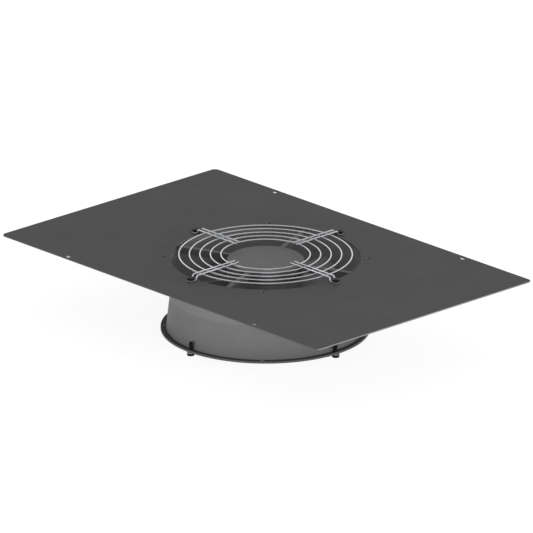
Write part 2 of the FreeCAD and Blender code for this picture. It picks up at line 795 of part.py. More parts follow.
def make_rotor_cup():
    """Drawn steel cup that turns round the stator, with a boss pressed on the shaft."""
    cup_boss_radius = shaft_radius + size.cup_boss_wall
    cup = turned(
        "rotor_cup",
        [
            (cup_inner_radius, cup_top),
            (cup_outer_radius, cup_top),
            (cup_outer_radius, cup_bottom),
            (shaft_radius, cup_bottom),
            (shaft_radius, lower_thrust_face),
            (cup_boss_radius, lower_thrust_face),
            (cup_boss_radius, cup_floor),
            (cup_inner_radius, cup_floor),
        ],
    )
    drill_hub_screw_holes(cup, tapped_radius)
    return cup


def make_rotor_laminations():
    """Ring of steel laminations pressed in the cup, with slots for the cage's bars."""
    body = new_body("rotor_laminations")
    outline = new_sketch(body, "outline", lift=-size.stack_bottom)
    add_circle(outline, cup_inner_radius)
    add_circle(outline, rotor_bore)
    pad(body, outline, size.stack_bottom - size.stack_top, "stack")
    slot = new_sketch(body, "slot_outline", lift=-size.stack_bottom)
    add_rectangle(slot, bar_inner, bar_outer, -size.bar_width / 2, size.bar_width / 2)
    first = cut_through(body, slot, "slot")
    polar(body, [first], size.bar_count, "slots")
    return body


def make_rotor_cage():
    """Squirrel cage cast in aluminium: bars through the laminations joined by a ring at each end."""
    body = new_body("rotor_cage")
    for name, base in (
        ("lower_ring", -size.stack_bottom - size.end_ring_height),
        ("upper_ring", -size.stack_top),
    ):
        outline = new_sketch(body, f"{name}_outline", lift=base)
        add_circle(outline, cup_inner_radius)
        add_circle(outline, rotor_bore + size.end_ring_step)
        pad(body, outline, size.end_ring_height, name)
    bar = new_sketch(body, "bar_outline", lift=-size.stack_bottom)
    add_rectangle(bar, bar_inner, bar_outer, -size.bar_width / 2, size.bar_width / 2)
    first = pad(body, bar, size.stack_bottom - size.stack_top, "bar")
    polar(body, [first], size.bar_count, "bars")
    return body


# ---------------------------------------------------------------------------------------------------------------
# Impeller
# ---------------------------------------------------------------------------------------------------------------
def add_blade_section(sketch, chord, camber, thickness):
    """A cambered section centred on the sketch's origin: two arcs that bulge downwards, closed by blunt edges."""
    half_chord = chord / 2
    half_edge = size.blade_edge / 2
    back = -camber - thickness / 2
    face = -camber + thickness / 2
    left, right = -half_chord.value, half_chord.value
    edge = half_edge.value

    lower = sketch.addGeometry(
        Part.Arc(Vector(left, -edge, 0), Vector(0, back.value, 0), Vector(right, -edge, 0)), False
    )
    trailing = sketch.addGeometry(Part.LineSegment(Vector(right, -edge, 0), Vector(right, edge, 0)), False)
    upper = sketch.addGeometry(
        Part.Arc(Vector(left, edge, 0), Vector(0, face.value, 0), Vector(right, edge, 0)), False
    )
    leading = sketch.addGeometry(Part.LineSegment(Vector(left, edge, 0), Vector(left, -edge, 0)), False)

    # Both arcs run anticlockwise from their left ends to their right ends.
    corners = [
        (lower, 2, trailing, 1),
        (trailing, 2, upper, 2),
        (upper, 1, leading, 1),
        (leading, 2, lower, 1),
    ]
    for corner in corners:
        sketch.addConstraint(Sketcher.Constraint("Coincident", *corner))
    pin(sketch, trailing, 1, half_chord, -half_edge)
    pin(sketch, trailing, 2, half_chord, half_edge)
    pin(sketch, leading, 1, -half_chord, half_edge)
    pin(sketch, leading, 2, -half_chord, -half_edge)
    for arc, rise in ((lower, -half_edge - back), (upper, half_edge - face)):
        drive(sketch, "Radius", arc, by=(half_chord * half_chord + rise * rise) / (rise * 2))


def make_impeller():
    """Moulded hub over the rotor cup with lofted blades, steep at the root and flat at the tip."""
    body = new_body("impeller")
    shell = new_sketch(body, "hub_profile", "XZ_Plane")
    profile = [
        (cup_outer_radius, cup_top),
        (hub_radius, cup_top),
        (hub_radius, hub_bottom - size.hub_edge),
        (hub_radius - size.hub_edge, hub_bottom),
        (0.0, hub_bottom),
        (0.0, cup_bottom),
        (cup_outer_radius, cup_bottom),
    ]
    add_polygon(shell, [(radius, -as_size(depth)) for radius, depth in profile])
    revolve(body, shell, "hub")

    # Each section stands square to the blade's radius and is turned by its pitch before the loft joins the two.
    blade_tip_radius = throat_bore - size.blade_tip_gap
    root_plane = cup_outer_radius + size.blade_root_sink
    tip_plane = blade_tip_radius + size.blade_tip_trim
    sections = []
    for name, plane, chord, pitch, camber, thickness in (
        ("root", root_plane, size.root_chord, size.root_pitch, size.root_camber, size.root_thickness),
        ("tip", tip_plane, size.tip_chord, size.tip_pitch, size.tip_camber, size.tip_thickness),
    ):
        section = new_sketch(body, name, "YZ_Plane", lift=plane, turn=pitch)
        section.setExpression("AttachmentOffset.Base.y", (-size.blade_middle).text)
        add_blade_section(section, chord, camber, thickness)
        sections.append(section)
    blade = body.newObject("PartDesign::AdditiveLoft", "impeller_blade")
    blade.Profile = sections[0]
    blade.Sections = [sections[1]]
    blade.Ruled = True
    polar(body, [blade], size.blade_count, "blades")

    # The tips are trimmed to one cylinder, which leaves their running gap to the drum's waist.
    trim = new_sketch(body, "tip_trim_profile", "XZ_Plane")
    add_rectangle(trim, blade_tip_radius, tip_plane * 1.2, -size.fan_depth, 0.0)
    revolve(body, trim, "tip_trim", kind="Groove")

    drill_hub_screw_holes(body, clearance_radius)
    return body


# ---------------------------------------------------------------------------------------------------------------
# Wire guards, drawn seated on height 0 with their rings above it
# ---------------------------------------------------------------------------------------------------------------
def make_guard_rings(label):
    """Concentric rings of round wire at an even pitch."""
    body = new_body(label)
    sketch = new_sketch(body, "sections", "XZ_Plane")
    ring_pitch = (ring_outer_radius - ring_inner_radius) / (size.ring_count - 1)
    for number in range(int(size.ring_count.value)):
        add_wire_section(sketch, ring_inner_radius + ring_pitch * number, size.ring_height, size.ring_wire)
    revolve(body, sketch, "rings")
    return body


def add_leg_path(sketch):
    """Centre line of one spoke leg: out over the rings, down a slope and out along the seat to the loop."""
    slope = math.radians(size.spoke_slope.value)
    bend = size.spoke_bend_radius
    top = size.ring_height + (size.ring_wire + size.spoke_wire) / 2
    seat = size.spoke_wire / 2
    across = bend.value * math.sin(slope)
    down = bend.value * (1 - math.cos(slope))
    fall = top.value - seat.value - 2 * down
    start = Vector(spoke_bend_start.value, top.value, 0)
    slope_start = start + Vector(across, -down, 0)
    slope_end = slope_start + Vector(fall / math.tan(slope), -fall, 0)
    foot = Vector(slope_end.x + across, seat.value, 0)
    upper_centre = start - Vector(0, bend.value, 0)
    lower_centre = foot + Vector(0, bend.value, 0)
    half_turn = math.pi / 2
    axis = Vector(0, 0, 1)

    inner = sketch.addGeometry(Part.LineSegment(Vector(spoke_inner_end.value, top.value, 0), start), False)
    upper_circle = Part.Circle(upper_centre, axis, bend.value)
    upper = sketch.addGeometry(Part.ArcOfCircle(upper_circle, half_turn - slope, half_turn), False)
    ramp = sketch.addGeometry(Part.LineSegment(slope_start, slope_end), False)
    lower_circle = Part.Circle(lower_centre, axis, bend.value)
    lower = sketch.addGeometry(Part.ArcOfCircle(lower_circle, -half_turn - slope, -half_turn), False)
    outer = sketch.addGeometry(Part.LineSegment(foot, Vector(legs_end.value, seat.value, 0)), False)

    for joint in ((inner, 2, upper, 2), (upper, 1, ramp, 1), (ramp, 2, lower, 1), (lower, 2, outer, 1)):
        sketch.addConstraint(Sketcher.Constraint("Tangent", *joint))
    sketch.addConstraint(Sketcher.Constraint("Horizontal", inner))
    sketch.addConstraint(Sketcher.Constraint("Horizontal", outer))
    pin(sketch, inner, 1, spoke_inner_end, top)
    drive(sketch, "DistanceX", -1, 1, inner, 2, by=spoke_bend_start)
    drive(sketch, "Radius", upper, by=bend)
    drive(sketch, "Radius", lower, by=bend)
    pin(sketch, outer, 2, legs_end, seat)
    angle = sketch.addConstraint(Sketcher.Constraint("Angle", ramp, -slope))
    sketch.setExpression(f"Constraints[{angle}]", f"(0 - {size.spoke_slope.text}) * 1 deg")
    return top, seat


def make_guard_spokes(label):
    """Hairpins of round wire laid across the rings, each looped round one guard screw."""
    body = new_body(label)
    pieces = []
    for name, side in (("right", 1), ("left", -1)):
        # This plane's normal points along -Y, so a positive lift is the leg at negative Y.
        path = new_sketch(body, f"{name}_path", "XZ_Plane", lift=half_spacing * side)
        top, seat = add_leg_path(path)
        section = new_sketch(body, f"{name}_section", "YZ_Plane", lift=spoke_inner_end)
        add_wire_section(section, half_spacing * -side, top, size.spoke_wire)
        leg = body.newObject("PartDesign::AdditivePipe", f"{label}_{name}_leg")
        leg.Profile = section
        leg.Spine = (path, [f"Edge{number}" for number in range(1, 6)])
        pieces.append(leg)
    # The loop opens towards the fan, where the two legs run into it.
    loop_section = new_sketch(body, "loop_section", "XZ_Plane")
    add_wire_section(loop_section, bolt_radius + loop_radius, seat, size.spoke_wire)
    axis = add_upright_axis(loop_section, bolt_radius)
    loop = revolve(body, loop_section, "loop", axis=axis, angle=loop_sweep)
    loop.Midplane = True
    loop.setExpression("Angle", f"360 deg - 2 * asin({half_spacing.text} / {loop_radius.text})")
    pieces.append(loop)
    polar(body, pieces, size.guard_screw_count, "set")
    return body


def make_guard(prefix, seat_height, upside_down):
    """A guard with its four screws, seated at a height and facing up or down."""
    set_height(make_guard_rings(f"{prefix}_guard_rings"), seat_height, upside_down)
    set_height(make_guard_spokes(f"{prefix}_guard_spokes"), seat_height, upside_down)
    under_head = size.spoke_wire * (-1 if upside_down else 1) + seat_height
    screws = make_screws(f"{prefix}_guard_screws", bolt_radius, size.guard_screw_length, size.guard_screw_count)
    set_height(screws, under_head, upside_down)


# ---------------------------------------------------------------------------------------------------------------
# Assembly
# ---------------------------------------------------------------------------------------------------------------
make_cover_plate()
make_fan_housing()
make_terminals()
make_motor_leads()
make_bearing_parts()
make_stator_core()
make_stator_coils()
make_shading_rings()
make_shaft()
make_retaining_clip()
make_rotor_cup()
make_rotor_laminations()
make_rotor_cage()
make_impeller()
hub_screws = make_screws("impeller_screws", size.hub_screw_circle / 2, size.hub_screw_length, size.hub_screw_count)
set_height(hub_screws, -hub_bottom, upside_down=True)
make_guard("upper", size.plate_thickness, upside_down=False)
make_guard("lower", -size.fan_depth, upside_down=True)
doc.recompute()

NODES = [
    "cover_plate",
    "fan_housing",
    "terminal_block",
    "terminal_tabs",
    "motor_leads",
    "bearing_tube",
    "upper_bearing",
    "lower_bearing",
    "oil_wick",
    "upper_thrust_washer",
    "lower_thrust_washer",
    "stator_core",
    "stator_coils",
    "shading_rings",
    "upper_guard_rings",
    "upper_guard_spokes",
    "upper_guard_screws",
    "lower_guard_rings",
    "lower_guard_spokes",
    "lower_guard_screws",
    "shaft",
    "retaining_clip",
    "rotor_cup",
    "rotor_laminations",
    "rotor_cage",
    "impeller",
    "impeller_screws",
]

for item in doc.Objects:
    if "Invalid" in item.State or "Error" in item.State:
        raise RuntimeError(f"{item.Name}: {item.State}")
for label in NODES:
    piece = doc.getObjectsByLabel(label)[0]
    if piece.Shape.isNull() or not piece.Shape.isValid():
        raise RuntimeError(f"{label} has no valid shape")
for label in NODES:
    shape = doc.getObjectsByLabel(label)[0].Shape
    shape.exportStep(f"parts/{label}.step")
    box = shape.BoundBox
    print(
        f"{label}: {len(shape.Solids)} solids, {shape.Volume:.1f} mm3,"
        f" x {box.XMin:.2f} {box.XMax:.2f}, y {box.YMin:.2f} {box.YMax:.2f}, z {box.ZMin:.2f} {box.ZMax:.2f}"
    )
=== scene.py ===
# %% [markdown]
# # A rack fan tray
#
# The real object is a flat steel plate that closes the fan opening in the roof of a server rack. One round
# axial fan hangs under it, and a guard of bright wire rings covers each side of the fan. The solids and the
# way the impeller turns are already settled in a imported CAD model. This script gives every surface a
# finish, and it makes again the few pieces whose small shapes matter most: the round wires, the screws and
# the plate.
#
# Loading the model comes first, because sizes and places are read from it. Lengths are in metres.

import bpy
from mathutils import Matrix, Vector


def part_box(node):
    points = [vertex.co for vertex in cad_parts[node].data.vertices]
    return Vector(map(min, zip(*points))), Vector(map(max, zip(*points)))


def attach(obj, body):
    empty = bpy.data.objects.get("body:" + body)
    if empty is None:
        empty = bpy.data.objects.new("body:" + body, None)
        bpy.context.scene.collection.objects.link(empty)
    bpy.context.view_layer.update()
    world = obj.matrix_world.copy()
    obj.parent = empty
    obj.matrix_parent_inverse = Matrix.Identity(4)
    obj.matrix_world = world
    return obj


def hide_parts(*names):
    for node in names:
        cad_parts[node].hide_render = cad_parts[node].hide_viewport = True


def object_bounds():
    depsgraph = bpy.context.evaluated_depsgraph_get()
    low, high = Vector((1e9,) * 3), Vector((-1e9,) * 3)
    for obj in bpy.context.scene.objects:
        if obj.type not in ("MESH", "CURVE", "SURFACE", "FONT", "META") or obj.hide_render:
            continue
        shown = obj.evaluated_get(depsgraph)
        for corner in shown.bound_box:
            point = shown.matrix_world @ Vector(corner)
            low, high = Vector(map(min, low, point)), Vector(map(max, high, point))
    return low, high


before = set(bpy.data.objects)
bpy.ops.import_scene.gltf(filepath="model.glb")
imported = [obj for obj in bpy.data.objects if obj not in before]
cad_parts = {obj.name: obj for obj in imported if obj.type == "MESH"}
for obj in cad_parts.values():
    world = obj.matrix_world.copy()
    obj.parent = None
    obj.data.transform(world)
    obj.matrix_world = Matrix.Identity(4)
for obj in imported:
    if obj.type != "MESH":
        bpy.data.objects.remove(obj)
cad_low, cad_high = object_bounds()
print("CAD box in mm:", [round(v * 1000, 1) for v in (*cad_low, *cad_high)])

# %% Units and modules
import math

import bmesh
import bpy
from mathutils import Matrix, Quaternion, Vector

MM = 0.001
scene = bpy.context.scene
scene.view_settings.view_transform = "Standard"
print("One millimetre is", MM, "scene units")

# %% [markdown]
# ## The camera
#
# Pictures of flat things are best taken from far away with a long lens, so that parallel edges stay nearly
# parallel. The camera could be placed by eye, but three numbers describe it better: how far round the
# object it stands, how high over the horizon, and how far away. It looks at a point a little to the near
# side of the fan's axis, and so the plate fills the frame from edge to edge.

# %% Camera
CAMERA_ROUND = math.radians(46.724)
CAMERA_HEIGHT = math.radians(19.678)
CAMERA_TILT = math.radians(0.081)
CAMERA_DISTANCE = 16.5717
LENS_LENGTH = 928.25
SENSOR_WIDTH = 36.0
SIGHT_LIMIT = 100.0
AIM_X = 25.6 * MM
AIM_Y = -22.5 * MM
AIM_OVER_PLATE = 0.45 * MM

plate_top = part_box("cover_plate")[1].z
look_at = Vector((AIM_X, AIM_Y, plate_top + AIM_OVER_PLATE))
towards_camera = Vector((
    math.sin(CAMERA_ROUND) * math.cos(CAMERA_HEIGHT),
    -math.cos(CAMERA_ROUND) * math.cos(CAMERA_HEIGHT),
    math.sin(CAMERA_HEIGHT),
))
camera_data = bpy.data.cameras.new("camera")
camera_data.lens = LENS_LENGTH
camera_data.sensor_width = SENSOR_WIDTH
camera_data.clip_end = SIGHT_LIMIT
camera = bpy.data.objects.new("camera", camera_data)
camera.location = look_at + towards_camera * CAMERA_DISTANCE
camera.rotation_mode = "QUATERNION"
level_view = (-towards_camera).to_track_quat("-Z", "Y")
camera.rotation_quaternion = level_view @ Quaternion((0, 0, 1), CAMERA_TILT)
scene.collection.objects.link(camera)
scene.camera = camera
print("Camera stands at", [round(v, 2) for v in camera.location])

# %% [markdown]
# ## Small tools for shader trees
#
# A shader tree is a handful of nodes and links, which take many lines to write out. These helpers let a
# tree read like a formula: each takes plain numbers or the outputs of other nodes, finds its tree from
# those, and gives back the output of the node that it made.

# %% Shader helpers
def feed(socket, value):
    """Links a socket to another node's output, or fills it with a plain value."""
    if isinstance(value, bpy.types.NodeSocket):
        socket.id_data.links.new(value, socket)
    else:
        socket.default_value = value


def fill(sockets, **values):
    """Feeds sockets by name; an underscore stands for a space."""
    for label, value in values.items():
        feed(sockets[label.replace("_", " ")], value)


def new_node(kind, *values):
    """A new node in the tree that the first linked value belongs to."""
    linked = [value for value in values if isinstance(value, bpy.types.NodeSocket)]
    return linked[0].id_data.nodes.new("ShaderNode" + kind)


def calculate(operation, first, second=0.0):
    """One step of arithmetic."""
    node = new_node("Math", first, second)
    node.operation = operation
    feed(node.inputs[0], first)
    feed(node.inputs[1], second)
    return node.outputs[0]


def plus(first, second):
    """The sum of two values."""
    return calculate("ADD", first, second)


def times(first, second):
    """The product of two values."""
    return calculate("MULTIPLY", first, second)


def stretch(value, from_low, from_high, to_low=0.0, to_high=1.0):
    """Maps one range to another and holds what lies outside it at the ends."""
    node = new_node("MapRange", value)
    for socket, number in zip(node.inputs, (value, from_low, from_high, to_low, to_high)):
        feed(socket, number)
    return node.outputs[0]


print("Sums are made by calculate, plus, times and stretch")


# %% Colour helpers
def grey(level, tint=1.0):
    """A grey colour, with its blue tinted a little up or down."""
    return (level, level, level * tint, 1.0)


def blend(share, low, high):
    """The colour that lies a share of the way from one colour to another."""
    node = new_node("Mix", share)
    node.data_type = "RGBA"
    for number, value in ((0, share), (6, low), (7, high)):
        feed(node.inputs[number], value)
    return node.outputs[2]


def noise(vector, scale, detail=2.0, roughness=0.5):
    """Smooth random values between 0 and 1, about one lump in each 1 / scale metres."""
    node = new_node("TexNoise", vector)
    fill(node.inputs, Vector=vector, Scale=scale, Detail=detail, Roughness=roughness)
    return node.outputs[0]


print("Colours come from grey, blend and noise")


# %% Coordinate helpers
def coordinate(tree, kind):
    """One kind of coordinate. Object is the place in the model at rest, in metres."""
    return tree.nodes.new("ShaderNodeTexCoord").outputs[kind]


def split(vector):
    """The outputs X, Y and Z of a vector."""
    node = new_node("SeparateXYZ", vector)
    feed(node.inputs[0], vector)
    return node.outputs


def join(x, y, z):
    """A vector from its x, y and z."""
    node = new_node("CombineXYZ", x, y, z)
    fill(node.inputs, X=x, Y=y, Z=z)
    return node.outputs[0]


def bump(height, depth):
    """A normal that leans as if the height, from 0 to 1, were so many metres deep."""
    node = new_node("Bump", height)
    fill(node.inputs, Distance=depth, Height=height)
    return node.outputs[0]


print("Places come from coordinate, and relief from bump")


# %% [markdown]
# ## The floor, the sky and the lamps
#
# A white studio hides where its floor ends. The floor could be lit until it clips, but that much light
# would bleach the object too. Instead the lamps stay at a plain level, at which a colour renders about as
# it is written, and the floor and the sky only look white to the camera and to the shiny wires that mirror
# them. The floor keeps a small share of real light for the object's soft shadow, and it is clear from
# below, so that the underside can be looked at.
#
# A studio's ceiling is darker than its walls, and so the wires mirror a dimmer sky overhead. The three
# lamps stand low: they light the drum's outside and leave most of the fan's opening dark.

# %% Sky
SKY_LIGHT = 0.74
SKY_LOOK = 1.0
SKY_OVERHEAD = 0.33
CEILING_STARTS = 0.35
CEILING_IS_FULL = 0.80


def seen_directly(tree):
    """1 for rays from the camera or from a shiny or clear surface, otherwise 0."""
    rays = tree.nodes.new("ShaderNodeLightPath").outputs
    mirrored = calculate("MAXIMUM", rays["Is Glossy Ray"], rays["Is Transmission Ray"])
    return calculate("MAXIMUM", rays["Is Camera Ray"], mirrored)


def mirrored_overhead(tree):
    """1 for what is mirrored from straight above, down to 0 for what stands low all round."""
    glossy = tree.nodes.new("ShaderNodeLightPath").outputs["Is Glossy Ray"]
    upward = split(coordinate(tree, "Generated"))["Z"]
    return times(glossy, stretch(upward, CEILING_STARTS, CEILING_IS_FULL))


world = bpy.data.worlds.new("studio")
scene.world = world
world.use_nodes = True
sky_tree = world.node_tree
all_round = stretch(seen_directly(sky_tree), 0.0, 1.0, SKY_LIGHT, SKY_LOOK)
dimmer = stretch(mirrored_overhead(sky_tree), 0.0, 1.0, 1.0, SKY_OVERHEAD)
sky = sky_tree.nodes["Background"].inputs
fill(sky, Color=grey(1.0), Strength=times(all_round, dimmer))
print("Sky lights at", SKY_LIGHT, "and shows at", SKY_LOOK)

# %% Floor material
FLOOR_PAINT = 0.9
FLOOR_GLOW = 0.91
FLOOR_SHADOW_SHARE = 0.17


def matt_paint(tree, level):
    """A matt shader of an even grey."""
    node = tree.nodes.new("ShaderNodeBsdfDiffuse")
    fill(node.inputs, Color=grey(level))
    return node


def mix_shaders(share, first, second):
    """A shader that goes from one to another as the share goes from 0 to 1."""
    node = new_node("MixShader", share)
    for socket, value in zip(node.inputs, (share, first.outputs[0], second.outputs[0])):
        feed(socket, value)
    return node


def make_floor_material():
    """White with a faint shadow to the eye, pale paint to the light, and clear from below."""
    material = bpy.data.materials.new("studio_floor")
    material.use_nodes = True
    tree = material.node_tree
    tree.nodes.remove(tree.nodes["Principled BSDF"])
    glow = tree.nodes.new("ShaderNodeEmission")
    fill(glow.inputs, Strength=FLOOR_GLOW)
    looks = tree.nodes.new("ShaderNodeAddShader")
    feed(looks.inputs[0], glow.outputs[0])
    feed(looks.inputs[1], matt_paint(tree, FLOOR_SHADOW_SHARE).outputs[0])
    upper_side = mix_shaders(seen_directly(tree), matt_paint(tree, FLOOR_PAINT), looks)
    from_below = tree.nodes.new("ShaderNodeNewGeometry").outputs["Backfacing"]
    clear = tree.nodes.new("ShaderNodeBsdfTransparent")
    both_sides = mix_shaders(from_below, upper_side, clear)
    fill(tree.nodes["Material Output"].inputs, Surface=both_sides.outputs[0])
    return material


floor_material = make_floor_material()
print("Made", floor_material.name)

# %% Floor
HALF_FLOOR = 15.0

corner_signs = ((-1, -1), (1, -1), (1, 1), (-1, 1))
floor_corners = [(x * HALF_FLOOR, y * HALF_FLOOR, cad_low.z) for x, y in corner_signs]
floor_mesh = bpy.data.meshes.new("floor")
floor_mesh.from_pydata(floor_corners, [], [(0, 1, 2, 3)])
floor_mesh.materials.append(floor_material)
floor = bpy.data.objects.new("floor", floor_mesh)
scene.collection.objects.link(floor)
print("Floor lies at", round(cad_low.z / MM, 1), "mm, under the lower guard's wires")


# %% Lamps
def add_lamp(name, place, width, height, power):
    """A soft box that faces the fan and can't be seen itself."""
    data = bpy.data.lights.new(name, "AREA")
    data.shape = "RECTANGLE"
    data.size = width
    data.size_y = height
    data.energy = power
    lamp = bpy.data.objects.new(name, data)
    lamp.location = place
    lamp.rotation_mode = "QUATERNION"
    lamp.rotation_quaternion = (-Vector(place)).to_track_quat("-Z", "Y")
    lamp.visible_camera = False
    lamp.visible_glossy = False
    scene.collection.objects.link(lamp)


add_lamp("left_box", place=(-0.18, -3.1, -0.02), width=1.8, height=0.12, power=53.0)
add_lamp("right_box", place=(3.0, -0.6, 0.15), width=1.8, height=0.4, power=50.0)
add_lamp("back_box", place=(2.5, 2.0, 0.3), width=1.6, height=0.5, power=34.0)

# %% [markdown]
# ## Effects that several finishes share
#
# Paint, plated steel and moulded plastic share the same few habits: no tone is quite even, no skin is quite
# smooth, edges rub bare, and a tool leaves fine lines. Each habit could be drawn again in every material.
# It is tidier to build it once as a node group with named sockets, and to give each material its own sizes.
# All sizes are real ones, so the grain keeps its scale from any distance.

# %% Node groups
EFFECTS = {}
KINDS = {"Place": "NodeSocketVector", "Normal": "NodeSocketVector", "Colour": "NodeSocketColor"}


def new_effect(name, inputs, outputs):
    """An empty node group with named sockets, and what its two end nodes give and take."""
    group = bpy.data.node_groups.new(name, "ShaderNodeTree")
    for direction, labels in (("INPUT", inputs), ("OUTPUT", outputs)):
        for label in labels:
            kind = KINDS.get(label, "NodeSocketFloat")
            group.interface.new_socket(label, in_out=direction, socket_type=kind)
    EFFECTS[name] = group
    given = group.nodes.new("NodeGroupInput").outputs
    result = group.nodes.new("NodeGroupOutput").inputs
    return group, given, result


def use_effect(name, **values):
    """Places an effect and gives back its outputs."""
    node = new_node("Group", *values.values())
    node.node_tree = EFFECTS[name]
    fill(node.inputs, **values)
    return node.outputs


print("Groups are made by new_effect")

# %% Uneven tone
inputs = ("Colour", "Place", "Patches per metre", "Strength")
group, given, result = new_effect("uneven tone", inputs, ("Colour",))
patches = noise(given["Place"], given["Patches per metre"], detail=4.0, roughness=0.6)
swing = times(calculate("SUBTRACT", patches, 0.5), given["Strength"])
tone = group.nodes.new("ShaderNodeVectorMath")
tone.operation = "SCALE"
feed(tone.inputs[0], given["Colour"])
fill(tone.inputs, Scale=plus(times(swing, 2.0), 1.0))
fill(result, Colour=tone.outputs[0])
print("Uneven tone has", len(group.nodes), "nodes")

# %% Fine skin
group, given, result = new_effect("fine skin", ("Place", "Lumps per metre"), ("Height", "Speckle"))
lumps = noise(given["Place"], given["Lumps per metre"])
grains = noise(given["Place"], times(given["Lumps per metre"], 5.0), detail=1.0)
fill(result, Height=plus(lumps, times(grains, 0.35)))
fill(result, Speckle=stretch(grains, 0.35, 0.65))
print("Fine skin has", len(group.nodes), "nodes")

# %% Worn edges
group, given, result = new_effect("worn edges", ("Place", "Width", "Reach"), ("Mask",))
rounded = group.nodes.new("ShaderNodeBevel")
rounded.samples = 6
fill(rounded.inputs, Radius=given["Width"])
facing = group.nodes.new("ShaderNodeVectorMath")
facing.operation = "DOT_PRODUCT"
feed(facing.inputs[0], rounded.outputs[0])
feed(facing.inputs[1], group.nodes.new("ShaderNodeNewGeometry").outputs["Normal"])
edge = stretch(facing.outputs["Value"], 0.99, 0.85)
patchy = noise(given["Place"], 160.0, detail=4.0, roughness=0.7)
rubbed = stretch(plus(patchy, given["Reach"]), 0.5, 0.75)
fill(result, Mask=times(edge, rubbed))
print("Worn edges has", len(group.nodes), "nodes")

# %% Round place
group, given, result = new_effect("round place", ("Place", "Normal"), ("Radius", "Depth", "Outwards"))
spot = split(given["Place"])
lean = split(given["Normal"])
squares = plus(times(spot["X"], spot["X"]), times(spot["Y"], spot["Y"]))
radius = calculate("SQRT", squares)
along_radius = plus(times(spot["X"], lean["X"]), times(spot["Y"], lean["Y"]))
fill(result, Radius=radius, Depth=times(spot["Z"], -1.0))
fill(result, Outwards=calculate("DIVIDE", along_radius, radius))
print("Round place has", len(group.nodes), "nodes")

# %% Tool lines
group, given, result = new_effect("turned lines", ("Place", "Lines per metre"), ("Height",))
where = use_effect("round place", Place=given["Place"])
across_lines = join(where["Radius"], where["Depth"], 0.0)
fill(result, Height=noise(across_lines, given["Lines per metre"]))
print("Turned lines has", len(group.nodes), "nodes")

# %% Ridges
group, given, result = new_effect("ridges", ("Along", "Pitch"), ("Height", "Row"))
GOLDEN_STEP = 0.618
turns = calculate("DIVIDE", given["Along"], given["Pitch"])
wave = calculate("SINE", times(turns, math.pi))
row_number = calculate("FLOOR", turns)
fill(result, Height=calculate("ABSOLUTE", wave))
fill(result, Row=calculate("FRACT", times(row_number, GOLDEN_STEP)))
print("Effects ready:", sorted(EFFECTS))

# %% [markdown]
# ## A blank finish
#
# Every finish starts the same way: a material with one Principled BSDF, whose plain settings such as gloss
# level are typed straight onto the shader. Only what changes over the surface comes through nodes. Nearly
# all finishes also drift in tone and rub paler along their edges, so both have a short way to be asked for.

# %% Blank finish
def new_finish(name, metal=0.0, shine=0.5):
    """A material, its shader's inputs and its place coordinate."""
    material = bpy.data.materials.new(name)
    material.use_nodes = True
    shader = material.node_tree.nodes["Principled BSDF"].inputs
    fill(shader, Metallic=metal, Specular_IOR_Level=shine)
    return material, shader, coordinate(material.node_tree, "Object")


def drift(place, colour, patches, strength):
    """The colour with its tone drifting, in so many patches to the metre."""
    sizes = {"Patches_per_metre": patches, "Strength": strength}
    return use_effect("uneven tone", Colour=colour, Place=place, **sizes)["Colour"]


def rubbed_edges(place, width, reach, most):
    """How far the edges are rubbed, from 0 up to the most that is given."""
    return times(use_effect("worn edges", Place=place, Width=width, Reach=reach)["Mask"], most)


def fill_finish(shader, colour, roughness, relief, depth):
    """Feeds a shader its colour, its roughness and a relief that is so many metres deep."""
    fill(shader, Base_Color=colour, Roughness=roughness, Normal=bump(relief, depth))


print("Finishes start from new_finish and end with fill_finish")

# %% [markdown]
# ## Powder coat on the plate
#
# The plate is a black coated steel sheet: its faces and long edges are satin charcoal, and its two short
# ends are painted pale bare steel with a metal sheen, a painted highlight along them. A flat dark colour
# would look like paper. Real powder coat flows into a fine orange peel with a finer speckle on it, and its
# tone drifts a little over the sheet. The highlit ends are found by the direction that the surface faces,
# which holds for both ends and for half of each rounded corner.

# %% Powder coat
COAT_BLACK = grey(0.076)
COAT_SPECKLE = grey(0.12)
# Pale bare steel for the plate's two short ends: a painted highlight along them.
END_HIGHLIGHT_STEEL = grey(0.36, 1.01)


def make_powder_coat():
    material, shader, place = new_finish("powder_coat_on_steel", shine=0.09)
    skin = use_effect("fine skin", Place=place, Lumps_per_metre=850.0)
    coat = drift(place, COAT_BLACK, patches=14.0, strength=0.16)
    speckled = blend(times(skin["Speckle"], 0.22), coat, COAT_SPECKLE)
    # The two short ends are painted pale bare steel with a metal sheen: a painted highlight. Rubbed edges
    # are real wear.
    facing_end = calculate("ABSOLUTE", split(coordinate(material.node_tree, "Normal"))["X"])
    highlit_end = stretch(facing_end, 0.55, 0.75)
    rubbed = rubbed_edges(place, width=0.4 * MM, reach=-0.06, most=0.5)
    wear_and_end_highlight = calculate("MAXIMUM", highlit_end, rubbed)
    spot = split(place)
    shear_lines = noise(join(0.0, spot["Y"], times(spot["Z"], 0.05)), 3000.0)
    coat_roughness = stretch(skin["Speckle"], 0.0, 1.0, 0.55, 0.68)
    height = plus(skin["Height"], times(shear_lines, highlit_end))
    fill(shader, Metallic=highlit_end)
    colour = blend(wear_and_end_highlight, speckled, END_HIGHLIGHT_STEEL)
    roughness = stretch(highlit_end, 0.0, 1.0, coat_roughness, 0.38)
    fill_finish(shader, colour, roughness, height, 0.03 * MM)
    return material


powder_coat = make_powder_coat()
print("Made", powder_coat.name, "with", len(powder_coat.node_tree.nodes), "nodes")
